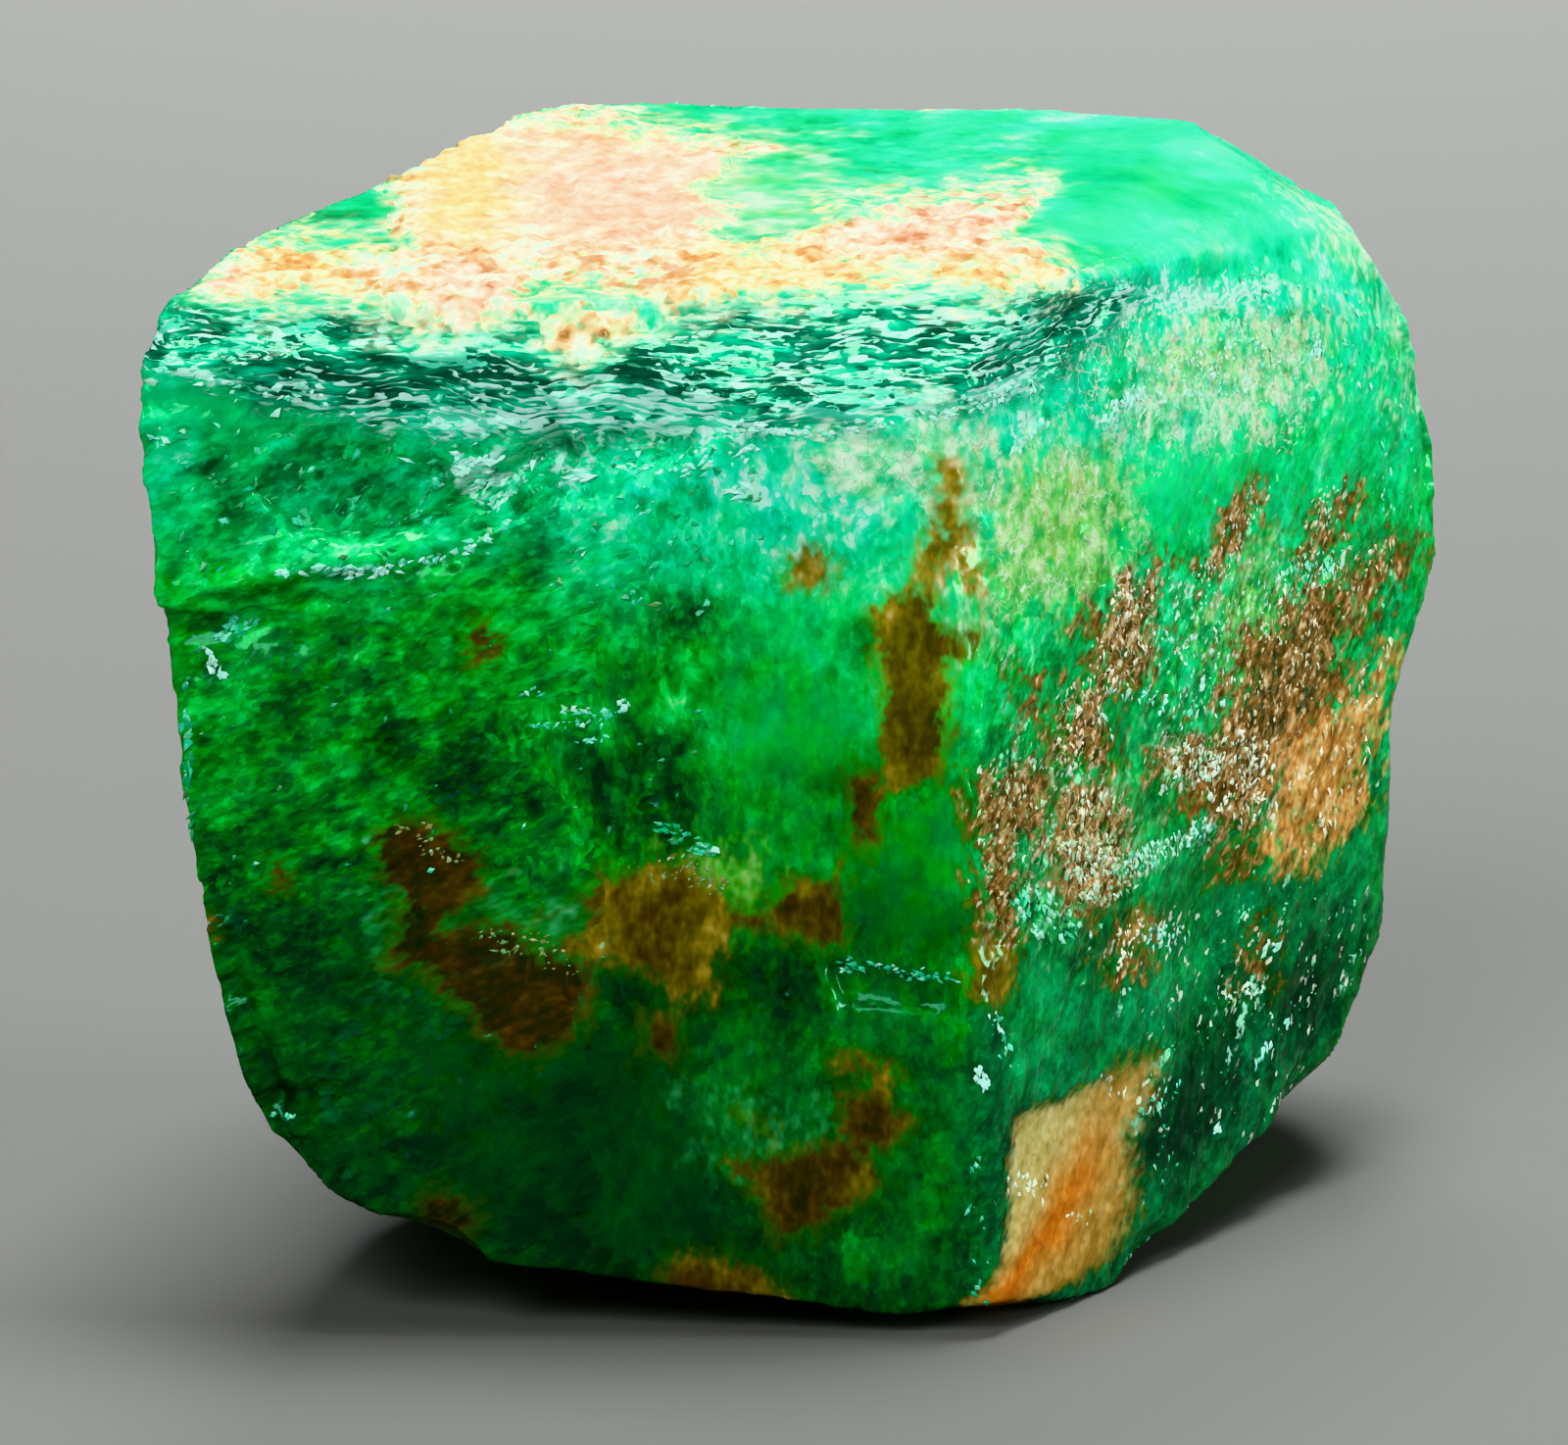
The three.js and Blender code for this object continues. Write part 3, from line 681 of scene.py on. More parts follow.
def set_points(mesh, points):
    mesh.vertices.foreach_set("co", points.astype(np.float32).ravel())
    mesh.update()


def normals_of(mesh):
    values = np.empty(len(mesh.vertices) * 3, np.float32)
    mesh.vertex_normals.foreach_get("vector", values)
    return values.reshape(-1, 3).astype(float)


def edges_of(mesh):
    values = np.empty(len(mesh.edges) * 2, np.int32)
    mesh.edges.foreach_get("vertices", values)
    return values.reshape(-1, 2)


def averaged(values, edges, rounds):
    """Each vertex's value, or row of values, moved to the mean of its neighbours' some times over."""
    one, other = edges.T
    count = len(values)
    neighbours = np.bincount(one, minlength=count) + np.bincount(other, minlength=count)
    columns = values.reshape(count, -1).T.copy()
    for _ in range(rounds):
        for column in columns:
            total = np.bincount(one, column[other], count) + np.bincount(other, column[one], count)
            column[:] = total / neighbours
    return columns.T.reshape(values.shape)


def smoothed_normals(mesh, edges, rounds):
    return unit_rows(averaged(normals_of(mesh), edges, rounds))


def with_modifier(mesh, kind, **settings):
    """A new mesh: this one with one modifier applied."""
    holder = new_object("holder", mesh)
    modifier = holder.modifiers.new(kind, kind)
    for name, value in settings.items():
        setattr(modifier, name, value)
    depsgraph = bpy.context.evaluated_depsgraph_get()
    result = bpy.data.meshes.new_from_object(holder.evaluated_get(depsgraph))
    bpy.data.objects.remove(holder)
    return result


def plain_copy(node):
    """The node's mesh in mm."""
    mesh = node.data.copy()
    mesh.materials.clear()
    mesh.transform(node.matrix_world)
    set_points(mesh, points_of(mesh) / MM)
    return mesh


def facing_camera(points, normals, low=-0.05, high=0.15):
    """1 where the surface faces the camera and 0 where it faces away, with a ragged line between them."""
    return smooth(low, high, 0.08 * noise(points * 1.7, 5) - normals @ AHEAD)


def weights_of(points, normals):
    """How much each kind of surface holds at each point, from 0 to 1."""
    pixels = pixels_of(points)
    seen = facing_camera(points, normals)
    ragged = 0.10 * layered(points * 3, 2, 11)
    weights = {}
    for name, outlines in REGIONS.items():
        edge = REGION_EDGES[name]
        weights[name] = seen * smooth(-edge, edge, deepest(outlines, pixels) + ragged)
    hidden = smooth(0.02, 0.3, noise(points * 0.3, 21)) * (1 - seen)
    weights["fresh"] = np.maximum(weights["fresh"], hidden)
    weights["hidden"] = 1 - seen
    return weights


def worn(points, rounded, normals, edges):
    """The points with the edges rounded: a little everywhere, and a lot where the stone is rubbed."""
    pixels = pixels_of(points)
    seen = facing_camera(points, normals)
    rubbed = seen * smooth(-0.5, 0.4, deepest(RUBBED, pixels) + 0.15 * noise(points * 1.2, 7))
    rubbed = np.maximum(rubbed, (1 - seen) * (0.12 + 0.12 * noise(points * 0.5, 8)))
    crisp = averaged(points, edges, WEAR_ROUNDS)
    return crisp + rubbed[:, None] * (rounded - crisp)


def facet_relief(points, normals):
    """Flat chips that tilt their own way."""
    pixels = pixels_of(points)
    seen = facing_camera(points, normals, -0.02, 0.1)
    ragged = 0.03 * noise(points * 5, 9)
    total = np.zeros(len(points))
    for outline, out, rise_right, rise_up in FACETS:
        middle = np.mean(outline, axis=0)
        right, up = ((pixels - middle) * (1, -1) / PIXELS_PER_MM).T
        floor = out + rise_right * right + rise_up * up
        total += smooth(-0.08, 0.08, inside_by(outline, pixels) + ragged) * floor
    return seen * total


def layer_field(points):
    """Counts the growth layers upwards: level sheets that waver a little."""
    flow = points * (0.5, 0.5, 1.6)
    return points[:, 2] / LAYER_STEP + 1.2 * noise(flow, 31) + 0.5 * noise(flow * (3, 3, 2.5), 32)


def bevel_relief(points):
    """Broken growth layers: long low ledges that split and join."""
    layer = layer_field(points)
    ledge = layer - np.floor(layer)
    ledge = np.where(ledge < LEDGE_RISE, ledge / LEDGE_RISE, (1 - ledge) / LEDGE_FALL)
    strong = smooth(-0.5, 0.5, noise(points * (0.7, 0.7, 2.0), 33))
    fine = noise(points * (2.2, 2.2, 11), 34)
    broad = noise(points * (0.8, 0.8, 2.4), 35)
    chips = flaked(points, (2.0, 2.0, 4.5), 36)
    return (0.010 + 0.030 * strong) * ledge + 0.014 * fine + 0.05 * broad + 0.03 * chips


def fracture_relief(points):
    """Shell-like bowls, with small flakes on them."""
    shift = noises(points * 0.9, (41, 42, 43))
    large = bowls(points * (0.8, 0.9, 1.15) + 0.35 * shift, 44)
    small = bowls(points * (1.7, 2.0, 3.2) + 0.5 * shift, 45)
    broken = smooth(-0.4, 0.4, noise(points * 0.8, 47))
    flakes = flaked(points, (1.5, 1.5, 2.6), 48) + 0.5 * flaked(points, (3.4, 3.4, 5.5), 52)
    return 0.12 * np.minimum(large, 0.8) + 0.05 * np.minimum(small, 0.8) + 0.07 * broken * flakes - 0.07


def streak_relief(points):
    """Low slanting ribs with grains between them."""
    slant = stretched(points, STREAK_AXES, (0.9, 4.5, 1.5))
    fine = stretched(points, STREAK_AXES, (4.0, 9, 6))
    grains = bowls(fine, 51)
    rough = smooth(-0.2, 0.5, noise(points * 0.9, 54))
    hollows = rough * 0.03 * (0.5 - np.minimum(grains, 1))
    return 0.024 * noise(slant, 52) + hollows + 0.012 * noise(points * 6, 53)


def skin_relief(points):
    """A prism face: faint upright lines, low waves, small flakes and a few pits."""
    upright = points * (5.5, 5.5, 0.9)
    pits = bowls(points * 3.1, 61)
    flakes = smooth(0.0, 0.5, noise(points * 0.55, 65)) * flaked(points, (2.4, 2.4, 3.2), 66)
    return (0.008 * noise(upright, 62) + 0.018 * layered(points * 1.7, 3, 63) + 0.022 * flakes
            - 0.02 * smooth(0.12, 0.0, pits))


def crust_relief(points):
    """Lumps and grains."""
    lumps = 1 - 2 * np.abs(noise(points * 4.5, 71))
    return 0.02 + 0.04 * lumps + 0.05 * noise(points * 1.6, 72) + 0.03 * noise(points * 9, 73)


RELIEFS = {"bevel": bevel_relief, "fresh": fracture_relief, "streaks": streak_relief, "rough": streak_relief}


def shaped(mesh, rounded):
    """The fine mesh with the relief of each kind of surface."""
    edges = edges_of(mesh)
    points = worn(points_of(mesh), rounded, normals_of(mesh), edges)
    set_points(mesh, points)
    normals = smoothed_normals(mesh, edges, RELIEF_NORMAL_ROUNDS)
    weights = weights_of(points, normals)
    relief = skin_relief(points) + 0.04 * noise(points * 0.6, 81)
    for name, function in RELIEFS.items():
        relief += weights[name] * (function(points) - 0.6 * relief)
    relief *= 1 - 0.75 * smooth(0.85, 0.97, normals[:, 2])
    relief += facet_relief(points, normals)
    relief += smooth(-0.08, 0.10, crust_field(points, normals)) * crust_relief(points)
    points = points + normals * relief[:, None]
    points[:, 2] = np.maximum(points[:, 2], 0)
    set_points(mesh, points)


# Paint

def wandering_pixels(points, normals):
    """Where points fall in the photograph, moved about on the top so that marks there wind their way."""
    level = smooth(0.8, 0.95, normals[:, 2])
    wander = noises(points * 0.9, (205, 209), 3) * (36, 7)
    return pixels_of(points) + level[:, None] * wander


def crust_field(points, normals):
    """How far each point lies inside the crust."""
    front = deepest(MARKS["crust"], wandering_pixels(points, normals))
    seen = smooth(-0.02, 0.05, -(normals @ AHEAD) + 0.04 * noise(points * 2, 91))
    behind = 0.5 * noise(points * 0.7, 92) - 0.42 + 0.25 * smooth(0.7, 0.95, normals[:, 2])
    return np.clip(seen * front + (1 - seen) * behind, -1, 1)


def mark_fields(points, normals):
    """For each kind of mark, how far each point lies inside one, in mm."""
    pixels = pixels_of(points)
    seen = facing_camera(points, normals, -0.15, 0.1)
    ragged = 0.10 * noise(points * 2.3, 103) + 0.07 * noise(points * 5.5, 104)
    fields = {"crust": crust_field(points, normals) + 0.9 * ragged}
    winding = wandering_pixels(points, normals)
    for seed, (name, level) in enumerate(HIDDEN_LEVELS.items()):
        front = deepest(MARKS[name], winding)
        behind = 1.2 * (layered(points * 0.55, 2, 110 + 7 * seed) - level)
        roughness = {"orange": 0.3, "brown": 0.35}.get(name, 1)
        fields[name] = np.clip(seen * front + (1 - seen) * behind + roughness * ragged, -1, 1)
    soft_side = smooth(*FLAP_SOFTENS, pixels[:, 0]) * seen
    fields["orange"] *= 1 - 0.7 * soft_side
    return fields


def brown_tone_field(points, normals, brown):
    """How golden the brown is: darkest in the middle of a mark, and golden round it."""
    pixels = pixels_of(points)
    seen = facing_camera(points, normals, -0.15, 0.1)
    depths = np.array([inside_by(outline, pixels) for outline in MARKS["brown"]])
    front = np.array(BROWN_TONES)[depths.argmax(axis=0)]
    tone = seen * front + (1 - seen) * 0.45
    return tone + 0.22 * layered(points * 1.8, 2, 191) + 0.08 * smooth(0.16, -0.06, brown)


def flame_fields(points):
    """How near each point is to the orange flap's vein, and how far to its pale side: 0 to 1."""
    pixels = pixels_of(points) + 9 * noises(points * 2.2, (195, 196))
    corners = np.array(FLAME, float)
    vein = np.interp(pixels[:, 1], corners[:, 1], corners[:, 0])
    aside = pixels[:, 0] - vein
    fading = smooth(*FLAME_SHOWS, pixels[:, 1])
    near = np.exp(-(aside / FLAME_WIDTH) ** 2) * (0.25 + 0.75 * fading)
    return near, smooth(FLAP_WIDTH, -FLAP_WIDTH, aside)


def grainy_field(points, normals):
    """How full of small grains the stone is: 0 to 1."""
    pixels = pixels_of(points) + 10 * noises(points * 1.6, (197, 199), 2)
    seen = facing_camera(points, normals)
    front = np.zeros(len(points))
    for outline, fullness in GRAINY:
        front = np.maximum(front, fullness * smooth(-0.12, 0.10, inside_by(outline, pixels)))
    behind = 0.7 * smooth(0.1, 0.6, layered(points * 0.8, 2, 201))
    return seen * front + (1 - seen) * behind


def tint_field(points):
    """The small light and dark places, painted highlights and shade among them, with wavering outlines."""
    pixels = pixels_of(points) + 14 * noises(points * 1.6, (131, 134), 2)
    total = np.zeros(len(points))
    for across, down, length, width, turn, amount in TINTS:
        angle = math.radians(turn)
        offset = pixels - (across, down)
        along = offset @ (math.cos(angle), -math.sin(angle)) / length
        aside = offset @ (math.sin(angle), math.cos(angle)) / width
        total += amount * np.exp(-(along ** 2 + aside ** 2) ** 1.5)
    return total


def painted_light_field(points, normals, tree, dark):
    """Painted light and shade on the green, with the stone's own clouds: from 0, deep green, to 1, mint."""
    seen = facing_camera(points, normals)
    right, _, high = points.T
    light = LIGHT_AT_FOOT + LIGHT_UP * high + LIGHT_HIGH * np.maximum(high, 0) ** LIGHT_POWER
    light += LIGHT_RIGHT * right
    light -= TOP_SHADE * smooth(0.7, 0.95, normals[:, 2])
    for across, down, radius, amount in GLOWS:
        away = points - surface_hit(tree, (across, down))[0]
        light += amount * np.exp(-(away ** 2).sum(axis=1) / (2 * radius ** 2))
    clouds = 0.09 * layered(points * 0.8, 2, 141) + 0.06 * noise(points * 3.3, 145)
    clouds += 0.10 * smooth(0.8, 0.95, normals[:, 2]) * layered(points * 1.3, 2, 149)
    shade = 0.16 * smooth(-0.2, 0.25, dark + 0.3 * noise(points * 2.4, 147))
    return light + clouds + seen * tint_field(points) - shade


def busy_field(points, normals):
    """How full of flakes the stone is: 0 to 1."""
    pixels = pixels_of(points)
    seen = facing_camera(points, normals)
    wander = 0.25 * noise(points * 1.5, 151)
    front = 0.5 + 0.5 * smooth(-0.3, 0.3, deepest(BUSY, pixels) + wander)
    front -= 0.42 * smooth(-0.15, 0.15, deepest(CALM, pixels) + 0.4 * wander)
    behind = 0.55 + 0.5 * noise(points * 0.5, 152)
    return np.clip(seen * front + (1 - seen) * behind, 0, 1)


def hue_field(points, weights):
    """How grassy the green is: near 0 it is blue green."""
    high = points[:, 2]
    left = smooth(0.0, -3.5, points[:, 0]) * smooth(8.8, 7.8, high)
    front = 0.10 + 0.84 * smooth(7.5, 5.6, high) + 0.25 * left
    side = 0.50 - 0.28 * smooth(4.0, 2.0, high) - 0.2 * smooth(7.8, 8.8, high)
    right = np.maximum(weights["streaks"], weights["rough"])
    cloudy = 0.20 * layered(points * 1.1, 3, 161)
    return np.clip(front + right * (side - front) - 0.3 * weights["bevel"] + cloudy, 0, 1)


def grain_kind(points, normals, weights):
    """Which way the grain runs: 1 leaning, 0 upright, -1 every way and -2 in wide soft patches."""
    pixels = pixels_of(points)
    across = pixels[:, 0] + 150 * layered(points * 1.3, 3, 171)
    seen = 1 - weights["hidden"]
    kind = smooth(*GRAIN_LEANS, across) * seen
    kind[(deepest(CRACKLED, pixels) + 0.12 * noise(points * 2, 172) > 0) & (seen > 0.5)] = -1
    kind[normals[:, 2] + 0.05 * noise(points * 1.5, 173) > 0.9] = -2
    return kind


def set_triples(mesh, name, columns):
    """Three numbers for each vertex, which the material reads by this name."""
    layer = mesh.attributes.new(name, "FLOAT_VECTOR", "POINT")
    layer.data.foreach_set("vector", np.stack(columns, axis=1).astype(np.float32).ravel())


def painted(mesh, tree):
    """Writes the marks, the painted light and shade and the kinds of surface into the mesh."""
    edges = edges_of(mesh)
    points = points_of(mesh)
    normals = smoothed_normals(mesh, edges, PAINT_NORMAL_ROUNDS)
    marks = mark_fields(points, normals)
    weights = weights_of(points, normals)
    # How far each point stands out: painted highlight on ridges and painted shade in hollows
    raised = ((points - averaged(points, edges, PAINT_NORMAL_ROUNDS)) * normals).sum(axis=1)
    ridge = np.clip(raised / HIGHEST_RIDGE, -1, 1)
    streaks = np.maximum(weights["streaks"], weights["rough"])
    light = painted_light_field(points, normals, tree, marks["dark"])
    busy = busy_field(points, normals)
    hue = hue_field(points, weights)
    kind = grain_kind(points, normals, weights)
    tones = brown_tone_field(points, normals, marks["brown"])
    flame, pale = flame_fields(points)
    grainy = grainy_field(points, normals)
    layers = {
        "crust_marks": (marks["crust"], marks["yellow"], marks["pink"]),
        "stain_marks": (marks["brown"], marks["streak_brown"], marks["orange"]),
        "haze_marks": (marks["haze"], marks["olive"], marks["painted_glare"]),
        "light_marks": (light, ridge, marks["rust"]),
        "kind_marks": (weights["bevel"], weights["fresh"], streaks),
        "detail_marks": (busy, hue, kind),
        "tone_marks": (tones, flame, marks["ochre"]),
        "grain_marks": (grainy, pale, marks["dark"]),
    }
    for name, columns in layers.items():
        set_triples(mesh, name, columns)
    return marks, weights


def tree_of(mesh):
    return BVHTree.FromPolygons([v.co for v in mesh.vertices], [tuple(p.vertices) for p in mesh.polygons])


# Chips

def within(outline, random, count):
    """Random pixels inside an outline."""
    corners = np.array(outline, float)
    found = np.empty((0, 2))
    while len(found) < count:
        tries = random.uniform(corners.min(axis=0), corners.max(axis=0), (4 * count, 2))
        found = np.concatenate([found, tries[inside_by(outline, tries) > 0]])
    return found[:count]


def beside(line, stray, random, count):
    """Random pixels near a line."""
    corners = np.array(line, float)
    lengths = np.hypot(*np.diff(corners, axis=0).T)
    marks = np.concatenate([[0], np.cumsum(lengths)])
    along = random.uniform(0, marks[-1], count)
    pixels = np.stack([np.interp(along, marks, corners[:, axis]) for axis in (0, 1)], axis=1)
    return pixels + random.normal(0, stray, (count, 2))


def chip_rows(tree, random, pixels, size, turn, cream, bright):
    """One row for each chip: place, outward, along, length, cream, bright."""
    rows = []
    lengths = size / PIXELS_PER_MM * random.uniform(0.8, 2.0, len(pixels))
    turns = np.radians(turn + random.normal(0, 24, len(pixels)))
    creams = np.clip(cream + random.normal(0, 0.12, len(pixels)), 0, 1)
    brights = np.clip(bright + random.normal(0, 0.18, len(pixels)), 0.08, 1)
    for pixel, length, angle, warm, shine in zip(pixels, lengths, turns, creams, brights):
        place, out = surface_hit(tree, pixel)
        if place is not None:
            along = np.array([math.cos(angle), 0, math.sin(angle)])
            rows.append((place, out, along, length, warm, shine))
    return rows


def front_chips(tree, random):
    """The rows of the chips that the photograph shows."""
    rows = []
    for line, stray, count, size, turn, cream, bright in CHIP_LINES:
        pixels = beside(line, stray, random, count)
        rows += chip_rows(tree, random, pixels, size, turn, cream, bright)
    for outline, count, size, turn, cream, bright in CHIP_AREAS:
        pixels = within(outline, random, count)
        rows += chip_rows(tree, random, pixels, size, turn, cream, bright)
    return rows


def hidden_chips(mesh, marks, weights, random):
    """The rows of the chips on the hidden sides, which lie on stains and in scattered spots."""
    points = points_of(mesh)
    normals = normals_of(mesh)
    spots = noise(points * 0.9, 181)
    stains = smooth(-0.1, 0.1, marks["streak_brown"])
    likely = weights["hidden"] * (0.04 + 0.5 * stains + smooth(0.35, 0.8, spots))
    chosen = random.choice(len(points), HIDDEN_CHIPS, replace=False, p=likely / likely.sum())
    rows = []
    for index in chosen:
        along = np.array(HIDDEN_CHIP_ALONG) + random.normal(0, 0.4, 3)
        length = random.uniform(*HIDDEN_CHIP_LENGTHS)
        cream = 0.75 if marks["streak_brown"][index] > -0.05 else 0.08
        rows.append((points[index], normals[index], along, length, cream, random.uniform(0.2, 0.9)))
    return rows


# A double pyramid: its corners, as places along, across and out of the surface, and its faces
CHIP_CORNERS = np.array([(1, 0, 0), (0.2, 1, 0.1), (-1, 0.1, 0), (0, -1, 0), (0.1, 0, 1), (0, 0, -1)])
CHIP_FACES = np.array([(0, 1, 4), (1, 2, 4), (2, 3, 4), (3, 0, 4),
                       (1, 0, 5), (2, 1, 5), (3, 2, 5), (0, 3, 5)])


def build_chips(rows, random):
    """All the chips as one mesh, each half sunk in the stone."""
    places, outs, alongs, lengths, creams, brights = (np.array(column) for column in zip(*rows))
    count = len(rows)
    outs = unit_rows(outs + random.normal(0, 0.28, (count, 3)))
    alongs = unit_rows(alongs - outs * (alongs * outs).sum(axis=1)[:, None])
    asides = np.cross(outs, alongs)
    corners = CHIP_CORNERS * random.uniform(0.55, 1.3, (count, 6, 3))
    half = lengths[:, None] / 2
    widths = np.minimum(half * CHIP_WIDTH, WIDEST_CHIP) * random.uniform(0.5, 1.4, (count, 1))
    heights = np.minimum(half * CHIP_HEIGHT, WIDEST_CHIP)
    points = (places[:, None] + corners[:, :, :1] * (alongs * half)[:, None]
              + corners[:, :, 1:2] * (asides * widths)[:, None]
              + corners[:, :, 2:] * (outs * heights)[:, None])
    faces = CHIP_FACES[None] + 6 * np.arange(count)[:, None, None]
    mesh = bpy.data.meshes.new("painted_glint_and_grain_chips")
    points = points.reshape(-1, 3)
    points[:, 2] = np.maximum(points[:, 2], 0.005)
    mesh.from_pydata((points * MM).tolist(), [], faces.reshape(-1, 3).tolist())
    columns = (creams, brights, random.uniform(0, 1, count))
    set_triples(mesh, "chip_marks", [np.repeat(column, 6) for column in columns])
    return new_object("painted_glint_and_grain_chips", mesh)


# The pieces

def build_crystal(node):
    """The stone's surface and its chips, as two pieces."""
    block = plain_copy(node)
    tree = tree_of(block)
    fine = with_modifier(block, "REMESH", mode="VOXEL", voxel_size=VOXEL, adaptivity=0)
    rounded = points_of(with_modifier(fine, "SMOOTH", factor=0.9, iterations=RUB_ROUNDS))
    shaped(fine, rounded)
    triangles = sum(len(polygon.vertices) - 2 for polygon in fine.polygons)
    mesh = with_modifier(fine, "DECIMATE", ratio=MOST_TRIANGLES / triangles, use_collapse_triangulate=True)
    marks, weights = painted(mesh, tree)
    random = np.random.default_rng(CHIP_SEED)
    rows = front_chips(tree_of(mesh), random) + hidden_chips(mesh, marks, weights, random)
    chips = build_chips(rows, random)
    set_points(mesh, points_of(mesh) * MM)
    mesh.shade_smooth()
    mesh.name = "crystal_surface"
    return new_object("crystal_surface", mesh), chips


# Materials

def linear(red, green, blue):
    """A colour given as 0 to 255 on the screen, as light."""
    values = [channel / 255 for channel in (red, green, blue)]
    return tuple(c / 12.92 if c <= 0.04045 else ((c + 0.055) / 1.055) ** 2.4 for c in values) + (1,)


def shades(*rows):
    """Colours with the places, from 0 to 1, where each one stands."""
    return [(place, linear(*colour)) for place, *colour in rows]


DEEP_TO_MINT = shades(
    (0.00, 0, 30, 10), (0.16, 0, 68, 32), (0.32, 0, 116, 62), (0.48, 0, 162, 96), (0.64, 0, 207, 138),
    (0.80, 8, 240, 182), (0.92, 90, 252, 212), (1.00, 190, 255, 238),
)
GRASS = shades(
    (0.00, 0, 32, 0), (0.16, 0, 70, 0), (0.32, 0, 114, 2), (0.48, 0, 160, 16), (0.64, 2, 206, 52),
    (0.80, 40, 238, 104), (1.00, 170, 252, 170),
)
BEVEL_BASES = shades(
    (0.34, 0, 50, 32), (0.44, 0, 96, 62), (0.52, 0, 136, 96), (0.62, 0, 182, 134), (0.74, 40, 230, 180),
)
BROWNS = shades(
    (0.00, 22, 8, 1), (0.20, 44, 20, 3), (0.36, 68, 38, 4), (0.50, 86, 66, 6), (0.64, 114, 98, 12),
    (0.80, 168, 142, 54), (1.00, 232, 216, 160),
)
UMBERS = shades(
    (0.26, 40, 14, 2), (0.42, 84, 42, 8), (0.54, 124, 74, 28), (0.66, 174, 126, 74),
    (0.82, 234, 216, 180),
)
FLAP_TANS = shades((0.34, 114, 86, 30), (0.50, 158, 122, 54), (0.66, 188, 160, 98))
FLAP_CREAMS = shades((0.34, 144, 132, 60), (0.50, 186, 172, 104), (0.66, 216, 208, 154))
FLAMES = shades((0.34, 146, 68, 8), (0.50, 186, 102, 16), (0.66, 210, 150, 60))
OCHRES = shades(
    (0.32, 124, 78, 38), (0.44, 178, 120, 60), (0.54, 210, 154, 84), (0.64, 230, 192, 132),
    (0.80, 246, 232, 194),
)
CREAMS = shades(
    (0.30, 176, 128, 78), (0.40, 226, 188, 128), (0.50, 252, 234, 184), (0.60, 254, 248, 214),
    (0.74, 216, 246, 220),
)
YELLOWS = shades((0.28, 196, 128, 58), (0.40, 246, 204, 96), (0.52, 254, 232, 130), (0.66, 255, 248, 186))
PINKS = shades((0.28, 168, 104, 74), (0.42, 232, 178, 140), (0.54, 250, 214, 178), (0.68, 254, 238, 214))
HAZES = shades((0.20, 70, 176, 84), (0.40, 100, 224, 140), (0.60, 150, 246, 184), (0.80, 226, 255, 226))
OLIVES = shades((0.20, 70, 156, 40), (0.40, 112, 204, 84), (0.60, 156, 226, 124), (0.80, 210, 242, 180))
FRINGES = shades((0.36, 60, 190, 130), (0.50, 150, 226, 180), (0.62, 232, 248, 208))
# The chips' mint and cream: painted glints, and pale grains
CHIP_MINTS = shades((0.00, 0, 150, 84), (0.30, 16, 196, 130), (0.60, 96, 236, 196), (0.90, 186, 255, 240))
CHIP_CREAMS = shades(
    (0.00, 140, 96, 42), (0.30, 176, 136, 78), (0.60, 222, 200, 150), (0.90, 246, 240, 214),
)
HALO = linear(66, 92, 6)
PALE_HALO = linear(150, 176, 60)
GOLD = linear(176, 156, 44)
RUST = linear(176, 110, 52)
# Painted glare on the bevel's lips and glaring places
DIM_PAINTED_GLARE = linear(96, 222, 186)
PAINTED_GLARE = linear(200, 255, 242)
GRAIN_PALE = linear(226, 250, 228)
GRAIN_CREAM = linear(232, 212, 168)
CRACK_DARK = linear(0, 120, 76)


class Triple(tuple):
    """Three outputs, which also has the vector that they come from."""


# For each kind of value that is mixed: its first input and its output
MIX_SOCKETS = {"FLOAT": (2, 0), "VECTOR": (4, 1), "RGBA": (6, 2)}


